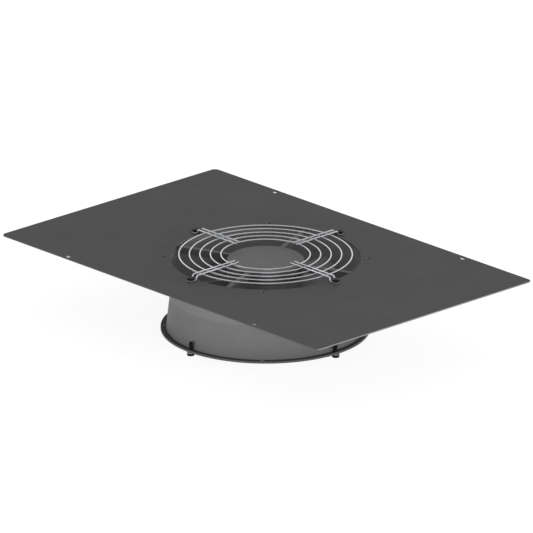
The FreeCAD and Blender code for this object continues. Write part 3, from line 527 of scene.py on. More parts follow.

# %% [markdown]
# ## Satin coat on the fan's casting
#
# The fan's drum, flanges and arms are one die casting with a thin grey coat. Its skin is smooth to the hand
# but not flat: low waves some millimetres long, and a fine grit. Corners rub lighter, and the screw holes
# were drilled after coating, so their walls are bare. Light and shade are also painted into the coat: it is
# paler above the drum's waist, as painted light, and darker towards the lower flange, as painted shade, and
# the inner wall is paler, and paler still deep inside, as painted fill light in the drum's shade. Such
# patches could be painted by hand into a texture. Here they follow from where a point lies: its distance
# from the axis, its depth under the plate and whether it faces outwards.

# %% Tones of the casting
CASTING_GREY = grey(0.132)
# Painted light above the drum's waist, and painted shade towards its foot.
UPPER_LIT_GREY = grey(0.158)
FOOT_SHADE_GREY = grey(0.095)
FLANGE_GREY = grey(0.072)
ARM_SIDE_GREY = grey(0.10)
# Painted fill light on the inner wall, paler towards the depth.
MOUTH_FILL_GREY = grey(0.19)
DEEP_FILL_GREY = grey(0.20)
WAIST_DEPTH = 44.45 * MM
FOOT_DEPTH = 86.4 * MM
WAIST_RADIUS = 113.0 * MM
FLANGE_RADIUS = 120.6 * MM
TONE_STEP = 0.4 * MM


def light_shade_and_tone_of_drum(where, tone):
    """Painted shade darker towards the drum's foot, painted light paler above its waist, and darkest on the
    flanges.
    """
    depth, radius = where["Depth"], where["Radius"]
    outside = stretch(where["Outwards"], 0.3, 0.5)
    # Painted shade darkens the drum towards its foot, and painted light makes it paler above the waist.
    shade_near_foot = calculate("POWER", stretch(depth, WAIST_DEPTH, FOOT_DEPTH), 2.0)
    lit_above_waist = stretch(depth, WAIST_DEPTH + TONE_STEP, WAIST_DEPTH)
    tone = blend(times(outside, shade_near_foot), tone, FOOT_SHADE_GREY)
    tone = blend(times(outside, lit_above_waist), tone, UPPER_LIT_GREY)
    return blend(stretch(radius, FLANGE_RADIUS, FLANGE_RADIUS + TONE_STEP), tone, FLANGE_GREY)


def tone_and_fill_of_inside(where, tone):
    """Dark on the arms' sides; the inner wall paler, and paler with depth, as painted fill light in the
    drum's shade.
    """
    depth, radius = where["Depth"], where["Radius"]
    below_face = stretch(depth, 1.0 * MM, 1.3 * MM)
    within_drum = stretch(radius, WAIST_RADIUS, WAIST_RADIUS - 1.0 * MM)
    tone = blend(times(below_face, within_drum), tone, ARM_SIDE_GREY)
    # Painted fill light: the inner wall is paler, and paler still with depth.
    painted_fill = blend(stretch(depth, 5.0 * MM, 60.0 * MM), MOUTH_FILL_GREY, DEEP_FILL_GREY)
    return blend(stretch(where["Outwards"], -0.2, -0.4), tone, painted_fill)


print("The drum's waist is", round(WAIST_DEPTH / MM, 1), "mm under the plate")

# %% Casting coat
GRIT_GREY = grey(0.17)
RUBBED_CASTING = grey(0.22, 1.01)
RIM_RADIUS = 126.5 * MM
HOLE_EDGE = 0.2 * MM


def drilled_walls(where, normal):
    """1 on the walls of the screw holes: upright, and between the drum and the flange's rim."""
    upright = stretch(calculate("ABSOLUTE", split(normal)["Z"]), 0.6, 0.4)
    off_drum = stretch(where["Radius"], FLANGE_RADIUS, FLANGE_RADIUS + HOLE_EDGE)
    off_rim = stretch(where["Radius"], RIM_RADIUS, RIM_RADIUS - HOLE_EDGE)
    return times(upright, times(off_drum, off_rim))


def make_casting_coat():
    material, shader, place = new_finish("satin_coat_on_casting", shine=0.14)
    skin = use_effect("fine skin", Place=place, Lumps_per_metre=420.0)
    normal = coordinate(material.node_tree, "Normal")
    where = use_effect("round place", Place=place, Normal=normal)
    coat = light_shade_and_tone_of_drum(where, drift(place, CASTING_GREY, patches=22.0, strength=0.18))
    coat = tone_and_fill_of_inside(where, coat)
    gritty = blend(times(skin["Speckle"], 0.10), coat, GRIT_GREY)
    worn = rubbed_edges(place, width=0.5 * MM, reach=0.02, most=0.7)
    rubbed = calculate("MAXIMUM", drilled_walls(where, normal), worn)
    colour = blend(rubbed, gritty, RUBBED_CASTING)
    roughness = stretch(skin["Height"], 0.4, 0.9, 0.46, 0.60)
    fill_finish(shader, colour, roughness, skin["Height"], 0.06 * MM)
    return material


casting_coat = make_casting_coat()
print("Made", casting_coat.name, "with", len(casting_coat.node_tree.nodes), "nodes")

# %% [markdown]
# ## Bright plated wire
#
# Guard wire is drawn through a die, bent, welded and nickel plated. It is a true metal: it has almost no
# colour of its own and shows its surroundings, so each wire reads as a bright line with a dark underside.
# Drawing leaves hair lines along the wire. They can't follow the model's axes, because the wire bends, so
# they follow the length that each wire's own mesh carries as its second texture coordinate. Near a screw
# the wire is painted dark: painted shade under the screw's head.

# %% Painted shade round the screws
BOLT_RADIUS = 123.5 * MM
EYE_REACH = 5.0 * MM


def shade_under_head(place):
    """1 near one of the four guard screws, where the wire gets painted shade from the head, otherwise 0."""
    spot = split(place)
    x = calculate("ABSOLUTE", spot["X"])
    y = calculate("ABSOLUTE", spot["Y"])
    beyond = calculate("SUBTRACT", calculate("MAXIMUM", x, y), BOLT_RADIUS)
    beside = calculate("MINIMUM", x, y)
    squares = plus(times(beyond, beyond), times(beside, beside))
    return stretch(calculate("SQRT", squares), EYE_REACH * 1.3, EYE_REACH)


# The painted shade under a head reaches this far from a screw's axis.
print("Scuffs reach", round(EYE_REACH / MM, 1), "mm from a screw's axis")

# %% Plated wire
NICKEL = (0.78, 0.79, 0.82, 1.0)
DULL_NICKEL = (0.52, 0.53, 0.555, 1.0)
# Darker nickel near the screws: painted shade under the heads.
HEAD_SHADE_NICKEL = (0.26, 0.265, 0.28, 1.0)


def make_plated_wire():
    material, shader, place = new_finish("bright_nickel_wire", metal=1.0)
    wire = split(coordinate(material.node_tree, "UV"))
    hair_lines = noise(join(times(wire["X"], 9.0), wire["Y"], 0.0), 6.0, detail=3.0)
    dullness = stretch(noise(place, 240.0, detail=4.0), 0.55, 0.8)
    bright = drift(place, NICKEL, patches=60.0, strength=0.12)
    plated = blend(times(dullness, 0.5), bright, DULL_NICKEL)
    # Painted shade: the wire darkens near each screw, where the head shades it.
    head_shade = times(shade_under_head(place), 0.75)
    colour = blend(head_shade, plated, HEAD_SHADE_NICKEL)
    roughness = stretch(hair_lines, 0.3, 0.7, 0.20, 0.34)
    fill_finish(shader, colour, roughness, hair_lines, 0.02 * MM)
    return material


plated_wire = make_plated_wire()
print("Made", plated_wire.name)

# %% [markdown]
# ## Black screws
#
# The screws are black oxide steel: a dark oiled skin with a soft sheen, which rubs back to grey steel on
# the thread's crests and round the drive recess.

# %% Black oxide
OXIDE_BLACK = grey(0.008, 1.05)
RUBBED_STEEL = grey(0.10, 1.02)


def make_black_oxide():
    material, shader, place = new_finish("black_oxide_steel", shine=0.18)
    skin = use_effect("fine skin", Place=place, Lumps_per_metre=2200.0)
    oxide = drift(place, OXIDE_BLACK, patches=300.0, strength=0.3)
    rubbed = rubbed_edges(place, width=0.18 * MM, reach=0.08, most=0.45)
    fill(shader, Metallic=rubbed)
    colour = blend(rubbed, oxide, RUBBED_STEEL)
    roughness = stretch(skin["Height"], 0.4, 0.9, 0.34, 0.50)
    fill_finish(shader, colour, roughness, skin["Height"], 0.012 * MM)
    return material


black_oxide = make_black_oxide()
print("Made", black_oxide.name)

# %% [markdown]
# ## Plastics
#
# The impeller and the terminal block are moulded from plastic with glass fibre in it. The fibres come near
# the skin and make it matt with faint pale flow streaks, and the parting edges rub grey. The leads' sleeve
# is a softer plastic that is pushed through a die, so it is smoother and a little glossier.

# %% Moulded plastic and sleeve
PLASTIC_BLACK = grey(0.032, 1.03)
PLASTIC_GREY = grey(0.19, 1.02)
SLEEVE_BLACK = grey(0.05)


def make_moulded_plastic(name, colour, streak_colour, rubbed_colour):
    material, shader, place = new_finish(name, shine=0.3)
    skin = use_effect("fine skin", Place=place, Lumps_per_metre=1400.0)
    spot = split(place)
    along_flow = join(spot["X"], spot["Y"], times(spot["Z"], 6.0))
    streaks = noise(along_flow, 120.0, detail=5.0, roughness=0.7)
    plain = drift(place, colour, patches=35.0, strength=0.3)
    streaky = blend(stretch(streaks, 0.5, 0.8, 0.0, 0.4), plain, streak_colour)
    rubbed = rubbed_edges(place, width=0.4 * MM, reach=-0.04, most=0.5)
    colour = blend(rubbed, streaky, rubbed_colour)
    roughness = stretch(skin["Speckle"], 0.0, 1.0, 0.50, 0.64)
    fill_finish(shader, colour, roughness, skin["Height"], 0.03 * MM)
    return material


def make_lead_sleeve():
    material, shader, place = new_finish("lead_sleeve", shine=0.5)
    skin = use_effect("fine skin", Place=place, Lumps_per_metre=900.0)
    colour = drift(place, SLEEVE_BLACK, patches=90.0, strength=0.25)
    roughness = stretch(skin["Height"], 0.4, 0.9, 0.36, 0.48)
    fill_finish(shader, colour, roughness, skin["Height"], 0.02 * MM)
    return material


black_plastic = make_moulded_plastic("glass_filled_plastic_black", PLASTIC_BLACK, grey(0.06), grey(0.12))
grey_plastic = make_moulded_plastic("glass_filled_plastic_grey", PLASTIC_GREY, grey(0.15), grey(0.2))
lead_sleeve = make_lead_sleeve()
print("Made", black_plastic.name, grey_plastic.name, lead_sleeve.name)

# %% [markdown]
# ## Turned, drawn and ground metals
#
# The motor's metal parts are nearly all round bodies that were turned, ground, drawn or cast. One function
# can dress them all, because they differ only in colour, in how fine their lines are and in how deep these
# go: a ground shaft has hair lines, a drawn cup has broad soft ones, and a sintered bearing has coarse ones
# that stand for its pores.

# %% Round metals
ZINC = (0.45, 0.46, 0.47, 1.0)
BRONZE = (0.50, 0.34, 0.16, 1.0)
COPPER = (0.72, 0.33, 0.16, 1.0)
TINNED_BRASS = (0.70, 0.62, 0.42, 1.0)
PALER = 1.35


def make_round_metal(name, colour, lines_per_metre, depth, smooth, rough):
    material, shader, place = new_finish(name, metal=1.0)
    lines = use_effect("turned lines", Place=place, Lines_per_metre=lines_per_metre)
    skin = use_effect("fine skin", Place=place, Lumps_per_metre=1800.0)
    metal = drift(place, colour, patches=70.0, strength=0.2)
    paler = [min(1.0, part * PALER) for part in colour[:3]] + [1.0]
    rubbed = rubbed_edges(place, width=0.3 * MM, reach=0.0, most=0.6)
    height = plus(lines["Height"], times(skin["Height"], 0.4))
    colour = blend(rubbed, metal, paler)
    roughness = stretch(lines["Height"], 0.3, 0.7, smooth, rough)
    fill_finish(shader, colour, roughness, height, depth)
    return material


ground_steel = make_round_metal("ground_steel", grey(0.60, 1.01), 9000.0, 0.006 * MM, 0.16, 0.28)
zinc_plate = make_round_metal("zinc_plated_drawn_steel", ZINC, 1500.0, 0.02 * MM, 0.30, 0.44)
bronze = make_round_metal("sintered_bronze", BRONZE, 2500.0, 0.03 * MM, 0.34, 0.50)
cast_cage = make_round_metal("cast_aluminium_cage", grey(0.62, 1.01), 1200.0, 0.04 * MM, 0.36, 0.52)
bare_copper = make_round_metal("bare_copper_bar", COPPER, 3000.0, 0.02 * MM, 0.28, 0.44)
tinned_tab = make_round_metal("tinned_brass_tab", TINNED_BRASS, 4000.0, 0.008 * MM, 0.20, 0.32)
print("Made six round metals, from", ground_steel.name, "to", tinned_tab.name)

# %% [markdown]
# ## Stacked sheets, wound wire and felt
#
# The motor's iron is a stack of half millimetre sheets, and its coils are hundreds of turns of thin
# enamelled wire. Neither is worth modelling sheet by sheet. Rows of ridges in the material give the same
# look: a small step in height and a slight change of tone from one row to the next.

# %% Sheets, windings and felt
SHEET_THICKNESS = 0.5 * MM
WINDING_WIRE = 0.45 * MM
ENAMEL = (0.62, 0.26, 0.10, 1.0)
FELT = (0.55, 0.52, 0.45, 1.0)
DARK_FELT = (0.36, 0.33, 0.27, 1.0)


def make_rows(name, colour, pitch, metal, rough, tone_step):
    material, shader, place = new_finish(name, metal=metal)
    rows = use_effect("ridges", Along=split(place)["Z"], Pitch=pitch)
    plain = drift(place, colour, patches=90.0, strength=0.25)
    darker = [part * tone_step for part in colour[:3]] + [1.0]
    colour = blend(times(rows["Row"], 0.6), plain, darker)
    roughness = stretch(rows["Height"], 0.0, 1.0, rough + 0.12, rough)
    fill_finish(shader, colour, roughness, rows["Height"], pitch * 0.35)
    return material


def make_felt():
    material, shader, place = new_finish("wool_felt", shine=0.2)
    fibres = noise(place, 2600.0, detail=6.0, roughness=0.75)
    plain = drift(place, FELT, patches=200.0, strength=0.3)
    colour = blend(stretch(fibres, 0.4, 0.7), plain, DARK_FELT)
    roughness = stretch(fibres, 0.3, 0.7, 0.85, 0.98)
    fill_finish(shader, colour, roughness, fibres, 0.2 * MM)
    return material


lamination_edges = make_rows("lamination_edges", grey(0.28, 1.03), SHEET_THICKNESS, 1.0, 0.38, 0.75)
enamelled_wire = make_rows("enamelled_winding", ENAMEL, WINDING_WIRE, 0.7, 0.26, 0.8)
wool_felt = make_felt()
print("Made", lamination_edges.name, enamelled_wire.name, wool_felt.name)

# %% [markdown]
# ## Dressing the CAD nodes
#
# The big forms keep their CAD meshes, because those are exact, and only receive a finish. Each node has one
# material slot, so dressing a node is one assignment.

# %% Dress the CAD nodes
NODES_OF_FINISH = (
    (powder_coat, "cover_plate"),
    (casting_coat, "fan_housing"),
    (black_plastic, "terminal_block"),
    (grey_plastic, "impeller"),
    (lead_sleeve, "motor_leads"),
    (tinned_tab, "terminal_tabs"),
    (ground_steel, "bearing_tube", "shaft"),
    (bronze, "upper_bearing", "lower_bearing", "upper_thrust_washer", "lower_thrust_washer"),
    (wool_felt, "oil_wick"),
    (lamination_edges, "stator_core", "rotor_laminations"),
    (enamelled_wire, "stator_coils"),
    (bare_copper, "shading_rings"),
    (cast_cage, "rotor_cage"),
    (zinc_plate, "rotor_cup", "retaining_clip"),
    (plated_wire, "upper_guard_rings", "upper_guard_spokes", "lower_guard_rings", "lower_guard_spokes"),
    (black_oxide, "upper_guard_screws", "lower_guard_screws", "impeller_screws"),
)
dressed = 0
for finish, *node_names in NODES_OF_FINISH:
    for node_name in node_names:
        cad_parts[node_name].material_slots[0].material = finish
        dressed += 1
print("Dressed", dressed, "of", len(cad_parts), "nodes")

# %% [markdown]
# ## Round wire
#
# The CAD model draws the guards' wires with six flats, which would show up close, and so the wires are made
# again, round. A curve with a bevel could do it, but the texture's length along the wire matters here, for
# the drawing lines. A small sweep does both: it carries a circle along a path of points, turns it with the
# path, and writes the distance travelled into the texture coordinates.

# %% Points and faces
def hold(value):
    """The value, held between 0 and 1."""
    return min(1.0, max(0.0, value))


def circle_points(radius, count, height=0.0, centre=(0.0, 0.0)):
    """Evenly spaced points once round a level circle."""
    angles = [2 * math.pi * i / count for i in range(count)]
    x, y = centre
    return [Vector((x + radius * math.cos(a), y + radius * math.sin(a), height)) for a in angles]


def add_band(mesh, under, over, smooth=True):
    """A closed band of faces between two rims with as many corners."""
    faces = []
    for i in range(len(under)):
        k = (i + 1) % len(under)
        faces.append(mesh.faces.new((under[i], under[k], over[k], over[i])))
        faces[-1].smooth = smooth
    return faces


def close_ends(mesh, first, last):
    """The two end faces of a body made of rims."""
    mesh.faces.new(list(reversed(first)))
    mesh.faces.new(last)


print("Rims come from circle_points, and faces from add_band")

# %% Sweep a round wire
WIRE_SIDES = 14
RADII_PER_TEXTURE = 200


def carry_frames(points, closed):
    """Two directions across the path at each point, which turn only as the path does."""
    count = len(points)
    tangents = []
    for i in range(count):
        after = points[(i + 1) % count] if closed or i + 1 < count else points[i]
        before = points[i - 1] if closed or i > 0 else points[i]
        tangents.append((after - before).normalized())
    across = tangents[0].orthogonal().normalized()
    frames = []
    for i, tangent in enumerate(tangents):
        if i:
            across = tangents[i - 1].rotation_difference(tangent) @ across
        frames.append((across, tangent.cross(across)))
    return frames


def sweep_wire(mesh, points, wire_radius, closed=False):
    """Adds a round wire along the points to a mesh in the making."""
    texture = mesh.loops.layers.uv.verify()
    angles = [2 * math.pi * i / WIRE_SIDES for i in range(WIRE_SIDES)]
    rims = []
    for point, (across, beside) in zip(points, carry_frames(points, closed)):
        rim = [point + (across * math.cos(a) + beside * math.sin(a)) * wire_radius for a in angles]
        rims.append([mesh.verts.new(corner) for corner in rim])
    travelled = [0.0]
    for i in range(1, len(points) + (1 if closed else 0)):
        travelled.append(travelled[-1] + (points[i % len(points)] - points[i - 1]).length)
    for i in range(len(travelled) - 1):
        for j, face in enumerate(add_band(mesh, rims[i], rims[(i + 1) % len(rims)])):
            marks = ((j, i), (j + 1, i), (j + 1, i + 1), (j, i + 1))
            for loop, (side, stop) in zip(face.loops, marks):
                length = travelled[stop] / (wire_radius * RADII_PER_TEXTURE)
                loop[texture].uv = (side / WIRE_SIDES, length)
    if not closed:
        close_ends(mesh, rims[0], rims[-1])


print("Wires have", WIRE_SIDES, "sides")


# %% From a mesh in the making to a piece
def to_object(name, mesh):
    """An object in the scene that holds the mesh."""
    bmesh.ops.recalc_face_normals(mesh, faces=mesh.faces)
    data = bpy.data.meshes.new(name)
    mesh.to_mesh(data)
    mesh.free()
    made = bpy.data.objects.new(name, data)
    scene.collection.objects.link(made)
    return made


def finish_piece(name, mesh, material, body, node):
    """A dressed piece that rides on a body and stands for a CAD node."""
    piece = to_object(name, mesh)
    piece.data.materials.append(material)
    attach(piece, body)
    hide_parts(node)
    print(name, "has", len(piece.data.polygons), "faces")


print("Pieces are made by finish_piece")

# %% [markdown]
# ## Guard rings
#
# Five rings lie at an even half inch pitch. Each is a closed circle of wire whose ends are butt welded, so
# a plain closed sweep is true to it. The height and the wire's thickness are read from the CAD node. A wire
# that just fills its six flats looks too heavy once it is round, so it is a tenth thinner and lies against
# the spokes.

# %% Make the rings
RING_COUNT = 5
RING_PITCH = 12.7 * MM
RING_STEPS = 144
HEXAGON_CORNER = 1 / math.cos(math.pi / 6)
ROUND_SHARE = 0.9


def ring_facts(side):
    """The rings' radii, their centre line's height and the wire's radius on one side."""
    low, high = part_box(f"{side}_guard_rings")
    flat_radius = (high.z - low.z) / 2
    largest = high.x - flat_radius * HEXAGON_CORNER
    wire_radius = flat_radius * ROUND_SHARE
    towards_spokes = (flat_radius - wire_radius) * (1 if side == "upper" else -1)
    radii = [largest - RING_PITCH * i for i in range(RING_COUNT)]
    return radii, (high.z + low.z) / 2 + towards_spokes, wire_radius


def make_rings(side):
    radii, height, wire_radius = ring_facts(side)
    mesh = bmesh.new()
    for radius in radii:
        sweep_wire(mesh, circle_points(radius, RING_STEPS, height), wire_radius, closed=True)
    name, node = f"{side}_guard_round_rings", f"{side}_guard_rings"
    finish_piece(name, mesh, plated_wire, "tray", node)


for side in ("upper", "lower"):
    make_rings(side)

# %% [markdown]
# ## Hairpin spokes
#
# Four hairpins of slightly thicker wire hold the rings. Each is one wire: it comes in over the rings, runs
# out, turns down a short slope, goes once round its screw and comes back the same way. One path of straight
# runs and true arcs keeps the wire's thickness even through the bends, which a scaled or sheared copy
# wouldn't. Small flattened beads show where each spoke is spot welded to each ring, and the eye under each
# screw is pressed a little flat.

# %% Spoke path
SPOKE_WIRE = 2.2 * MM
HALF_SPACING = 3.5 * MM
SPOKE_INNER_END = 47.6 * MM
SPOKE_BEND_START = 114.0 * MM
SPOKE_BEND = 2.5 * MM
SPOKE_SLOPE = math.radians(60)
EYE_RADIUS = 3.7 * MM
NECK_RADIUS = 3.0 * MM
BEND_STEPS = 7
EYE_STEPS = 26
NECK_STEPS = 5


def arc(centre, radius, start, end, steps):
    """Points of a flat arc about a centre, with both ends."""
    angles = [start + (end - start) * i / steps for i in range(steps + 1)]
    return [(centre[0] + radius * math.cos(a), centre[1] + radius * math.sin(a)) for a in angles]


def leg_outline(top, seat):
    """One leg from its inner end to the eye, as distances from the fan's axis and heights."""
    upright = math.pi / 2
    fall = top - seat - 2 * SPOKE_BEND * (1 - math.cos(SPOKE_SLOPE))
    reach = 2 * SPOKE_BEND * math.sin(SPOKE_SLOPE) + fall / math.tan(SPOKE_SLOPE)
    crest_centre = (SPOKE_BEND_START, top - SPOKE_BEND)
    foot_centre = (SPOKE_BEND_START + reach, seat + SPOKE_BEND)
    crest = arc(crest_centre, SPOKE_BEND, upright, upright - SPOKE_SLOPE, BEND_STEPS)
    foot = arc(foot_centre, SPOKE_BEND, -upright - SPOKE_SLOPE, -upright, BEND_STEPS)
    return [(SPOKE_INNER_END, top)] + crest + foot


def eye_outline():
    """The eye round the screw, seen from above. It swings wider than the legs through a neck."""
    reach = EYE_RADIUS + NECK_RADIUS
    swing = math.acos((HALF_SPACING + NECK_RADIUS) / reach)
    neck_centre = (BOLT_RADIUS - reach * math.sin(swing), -HALF_SPACING - NECK_RADIUS)
    neck = arc(neck_centre, NECK_RADIUS, math.pi / 2, math.pi / 2 - swing, NECK_STEPS)[:-1]
    start = math.pi * 1.5 - swing
    eye = arc((BOLT_RADIUS, 0.0), EYE_RADIUS, start, 4 * math.pi - start, EYE_STEPS)
    return neck + eye + [(x, -y) for x, y in reversed(neck)]


def hairpin_path(top, seat):
    """The whole wire of one hairpin along +X."""
    leg = leg_outline(top, seat)
    out = [Vector((x, -HALF_SPACING, z)) for x, z in leg]
    eye = [Vector((x, y, seat)) for x, y in eye_outline()]
    back = [Vector((x, HALF_SPACING, z)) for x, z in reversed(leg)]
    return out + eye + back


print("A hairpin's path has", len(hairpin_path(6 * MM, SPOKE_WIRE / 2)), "points")

# %% Weld beads
BEAD_SIZE = (3.2 * MM, 2.4 * MM, 1.1 * MM, 1.0)


def add_bead(mesh, centre, turn):
    """A flattened bead of metal at one crossing of a ring and a spoke."""
    place = Matrix.Translation(centre) @ Matrix.Rotation(turn, 4, "Z") @ Matrix.Diagonal(BEAD_SIZE)
    facets = {"u_segments": 10, "v_segments": 6}
    bead = bmesh.ops.create_uvsphere(mesh, **facets, radius=0.5, matrix=place, calc_uvs=True)
    for corner in bead["verts"]:
        for face in corner.link_faces:
            face.smooth = True


print("Beads are", round(BEAD_SIZE[0] / MM, 1), "mm long")

# %% Flatten the eyes
EYE_THICKNESS = 1.6 * MM
EYE_BLEND = 1.5 * MM


def flatten_eyes(mesh, seat_face):
    """Squeezes the wire towards the face that it sits on, wherever a screw's head covers it."""
    flat_share = EYE_THICKNESS / SPOKE_WIRE
    for corner in mesh.verts:
        beside, beyond = sorted((abs(corner.co.x), abs(corner.co.y)))
        off_centre = math.hypot(beyond - BOLT_RADIUS, beside)
        share = flat_share + (1 - flat_share) * hold((off_centre - EYE_REACH) / EYE_BLEND)
        corner.co.z = seat_face + (corner.co.z - seat_face) * share


print("Eyes are flattened to", round(EYE_THICKNESS / MM, 1), "mm")


# %% Make the spokes
def make_spokes(side):
    radii, ring_height, ring_wire_radius = ring_facts(side)
    low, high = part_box(f"{side}_guard_spokes")
    upwards, seat_face = (1, low.z) if side == "upper" else (-1, high.z)
    on_the_face = Matrix.Translation((0, 0, seat_face))
    contact = abs(ring_height - seat_face) + ring_wire_radius
    path = hairpin_path(contact + SPOKE_WIRE / 2, SPOKE_WIRE / 2)
    mesh = bmesh.new()
    for quarter in range(4):
        turn = math.pi / 2 * quarter
        place = on_the_face @ Matrix.Rotation(turn, 4, "Z") @ Matrix.Diagonal((1, 1, upwards, 1))
        sweep_wire(mesh, [place @ point for point in path], SPOKE_WIRE / 2)
        for radius in radii:
            for y in (-HALF_SPACING, HALF_SPACING):
                crossing = Vector((math.sqrt(radius * radius - y * y), y, contact))
                add_bead(mesh, place @ crossing, turn)
    flatten_eyes(mesh, seat_face)
    name, node = f"{side}_guard_hairpins", f"{side}_guard_spokes"
    finish_piece(name, mesh, plated_wire, "tray", node)


for side in ("upper", "lower"):
    make_spokes(side)

# %% [markdown]
# ## Roof plate
#
# The real plate is a flat blank, cut out with its holes in one go. Booleans could cut them one by one, but
# a filled flat curve does it in one step too: each closed outline inside another one cuts a hole. The
# plate's length, width and thickness come from the CAD node, and only its corners are a little tighter.

# %% Make the plate
PLATE_CORNER = 6.35 * MM
CORNER_STEPS = 10
OPENING_RADIUS = 115.3 * MM
OPENING_STEPS = 180
FAN_HOLE_COUNT = 8
FAN_HOLE_RADIUS = 2.75 * MM
ROOF_HOLE_RADIUS = 3.25 * MM
ROOF_HOLE_X = 165.1 * MM
ROOF_HOLE_Y = 171.45 * MM
HOLE_STEPS = 24


def plate_edge(half_length, half_width):
    """The plate's outer edge with its rounded corners."""
    points = []
    for quarter, (x, y) in enumerate(((1, 1), (-1, 1), (-1, -1), (1, -1))):
        centre = (x * (half_length - PLATE_CORNER), y * (half_width - PLATE_CORNER))
        start = quarter * math.pi / 2
        points += arc(centre, PLATE_CORNER, start, start + math.pi / 2, CORNER_STEPS)
    return points


def hole_edges():
    """The edges of the round opening, the fan's holes and the roof's holes."""
    holes = [circle_points(OPENING_RADIUS, OPENING_STEPS)]
    for centre in circle_points(BOLT_RADIUS, FAN_HOLE_COUNT):
        holes.append(circle_points(FAN_HOLE_RADIUS, HOLE_STEPS, centre=centre[:2]))
    for x in (-ROOF_HOLE_X, ROOF_HOLE_X):
        for y in (-ROOF_HOLE_Y, ROOF_HOLE_Y):
            holes.append(circle_points(ROOF_HOLE_RADIUS, HOLE_STEPS, centre=(x, y)))
    return holes


def make_plate():
    low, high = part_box("cover_plate")
    curve = bpy.data.curves.new("plate_blank", "CURVE")
    curve.dimensions = "2D"
    curve.fill_mode = "BOTH"
    curve.extrude = (high.z - low.z) / 2
    for points in [plate_edge(high.x, high.y)] + hole_edges():
        outline = curve.splines.new("POLY")
        outline.points.add(len(points) - 1)
        outline.use_cyclic_u = True
        for mark, point in zip(outline.points, points):
            mark.co = (point[0], point[1], 0.0, 1.0)
    blank = bpy.data.objects.new("plate_blank", curve)
    mesh = bmesh.new()
    mesh.from_mesh(bpy.data.meshes.new_from_object(blank))
    bpy.data.objects.remove(blank)
    bmesh.ops.remove_doubles(mesh, verts=mesh.verts, dist=0.001 * MM)
    bmesh.ops.translate(mesh, verts=mesh.verts, vec=(0.0, 0.0, (high.z + low.z) / 2))
    finish_piece("roof_plate_blank", mesh, powder_coat, "tray", "cover_plate")


make_plate()

# %% [markdown]
# ## Screws with a thread and a cross recess
#
# The CAD screws are plain turned shapes. On the real ones two things catch light: the thread that stands
# above the lower flange, and the cross recess in the head. The recess is cut by a boolean with a tapered
# cross. The same way often fails for a thread, and so the shank is a grid of points whose distance from the
# axis rises and falls along a helix.

# %% Thread
THREAD_PITCH = 0.8 * MM
THREAD_DEPTH = 0.44 * MM
SHANK_RADIUS = 2.5 * MM
THREAD_SIDES = 24
ROWS_PER_TURN = 6
PLAIN_NECK = 0.6 * MM
TIP_TAPER = 0.8 * MM
TIP_NARROWING = 0.28


def thread_radius(depth, turn, length):
    """Distance of the thread's surface from the screw's axis at a depth under the head."""
    wave = abs(((depth / THREAD_PITCH - turn) % 1.0) * 2 - 1)
    root = 1 - hold(wave * 1.5 - 0.25)
    fade = hold((depth - PLAIN_NECK) / THREAD_PITCH)
    near_tip = min(1.0, (length - depth) / TIP_TAPER)
    return (SHANK_RADIUS - THREAD_DEPTH * root * fade) * (1 - TIP_NARROWING * (1 - near_tip))


def add_shank(mesh, length):
    """The threaded shank, hanging from height 0."""
    rows = round(length / THREAD_PITCH * ROWS_PER_TURN)
    grid = []
    for row in range(rows + 1):
        depth = length * row / rows
        line = []
        for side in range(THREAD_SIDES):
            turn = side / THREAD_SIDES
            radius = thread_radius(depth, turn, length)
            angle = 2 * math.pi * turn
            corner = (radius * math.cos(angle), radius * math.sin(angle), -depth)
            line.append(mesh.verts.new(corner))
        grid.append(line)
    for upper, lower in zip(grid, grid[1:]):
        for side in range(THREAD_SIDES):
            after = (side + 1) % THREAD_SIDES
            mesh.faces.new((upper[side], lower[side], lower[after], upper[after])).smooth = True
    close_ends(mesh, grid[-1], grid[0])


print("The thread's pitch is", round(THREAD_PITCH / MM, 2), "mm")

# %% Head and recess
HEAD_RADIUS = 4.6 * MM
HEAD_HEIGHT = 3.0 * MM
HEAD_SIDES = 40
RIM_ROUND = 0.3 * MM
RIM_STEPS = 6
RECESS_REACH = 2.3 * MM
RECESS_SLOT = 0.6 * MM
RECESS_DEPTH = 1.5 * MM
RECESS_FLARE = 1.08
RECESS_FLOOR = (0.42, 0.6)
CUTTER_PROUD = 0.1 * MM


def make_head():
    """The low flat head as a turned solid with its underside at height 0."""
    rim_centre = (HEAD_RADIUS - RIM_ROUND, HEAD_HEIGHT - RIM_ROUND)
    profile = [(HEAD_RADIUS, 0.0)] + arc(rim_centre, RIM_ROUND, 0.0, math.pi / 2, RIM_STEPS)
    mesh = bmesh.new()
    rims = []
    for radius, height in profile:
        rims.append([mesh.verts.new(corner) for corner in circle_points(radius, HEAD_SIDES, height)])
    for under, over in zip(rims, rims[1:]):
        add_band(mesh, under, over)
    close_ends(mesh, rims[0], rims[-1])
    return mesh


def make_recess():
    """The cross shaped tip that cuts the recess: wide at the head's top and narrow below."""
    quarter = [(RECESS_REACH, -RECESS_SLOT), (RECESS_REACH, RECESS_SLOT), (RECESS_SLOT, RECESS_SLOT)]
    outline = []
    for k in range(4):
        turn = Matrix.Rotation(math.pi / 2 * k, 2)
        outline += [turn @ Vector(corner) for corner in quarter]
    top_height = HEAD_HEIGHT + CUTTER_PROUD
    floor_height = HEAD_HEIGHT - RECESS_DEPTH
    floor_x, floor_y = RECESS_FLOOR
    mesh = bmesh.new()
    top = [mesh.verts.new((p.x * RECESS_FLARE, p.y * RECESS_FLARE, top_height)) for p in outline]
    bottom = [mesh.verts.new((p.x * floor_x, p.y * floor_y, floor_height)) for p in outline]
    add_band(mesh, bottom, top, smooth=False)
    close_ends(mesh, bottom, top)
    return mesh


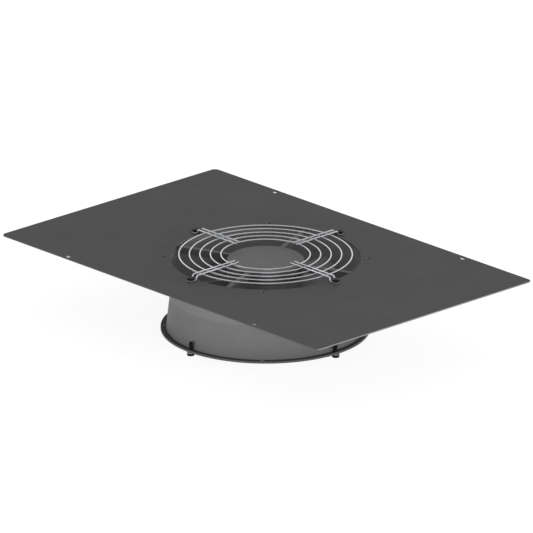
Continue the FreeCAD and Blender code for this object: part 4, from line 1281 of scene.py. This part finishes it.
def cut_recess():
    """The head with its recess cut, as plain mesh data."""
    head = to_object("head_blank", make_head())
    cutter = to_object("recess_cutter", make_recess())
    cut = head.modifiers.new("recess", "BOOLEAN")
    cut.operation = "DIFFERENCE"
    cut.object = cutter
    finished_head = head.evaluated_get(bpy.context.evaluated_depsgraph_get())
    finished = bpy.data.meshes.new_from_object(finished_head)
    bpy.data.objects.remove(head)
    bpy.data.objects.remove(cutter)
    return finished


screw_head = cut_recess()
print("The cut head has", len(screw_head.polygons), "faces")

# %% Set the screws
GUARD_SCREW_LENGTH = 14 * MM
HUB_SCREW_LENGTH = 8 * MM
HUB_SCREW_CIRCLE = 26 * MM
TURN_BETWEEN_SCREWS = 0.7


def make_screw(length):
    """One whole screw as mesh data, its head over height 0."""
    mesh = bmesh.new()
    mesh.from_mesh(screw_head)
    add_shank(mesh, length)
    screw = bpy.data.meshes.new("screw")
    mesh.to_mesh(screw)
    mesh.free()
    return screw


def make_screw_set(owner, body, circle, count, length, upwards):
    """Copies of one screw round a circle. No two recesses point the same way."""
    low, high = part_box(f"{owner}_screws")
    seat = high.z - HEAD_HEIGHT if upwards else low.z + HEAD_HEIGHT
    flip = Matrix.Identity(4) if upwards else Matrix.Rotation(math.pi, 4, "X")
    screw = make_screw(length)
    mesh = bmesh.new()
    for k, centre in enumerate(circle_points(circle, count, seat)):
        spin = Matrix.Rotation(TURN_BETWEEN_SCREWS * k, 4, "Z")
        copy = screw.copy()
        copy.transform(Matrix.Translation(centre) @ flip @ spin)
        mesh.from_mesh(copy)
        bpy.data.meshes.remove(copy)
    bpy.data.meshes.remove(screw)
    finish_piece(f"{owner}_pan_screws", mesh, black_oxide, body, f"{owner}_screws")


make_screw_set("upper_guard", "tray", BOLT_RADIUS, 4, GUARD_SCREW_LENGTH, upwards=True)
make_screw_set("lower_guard", "tray", BOLT_RADIUS, 4, GUARD_SCREW_LENGTH, upwards=False)
make_screw_set("impeller", "rotor", HUB_SCREW_CIRCLE, 3, HUB_SCREW_LENGTH, upwards=False)
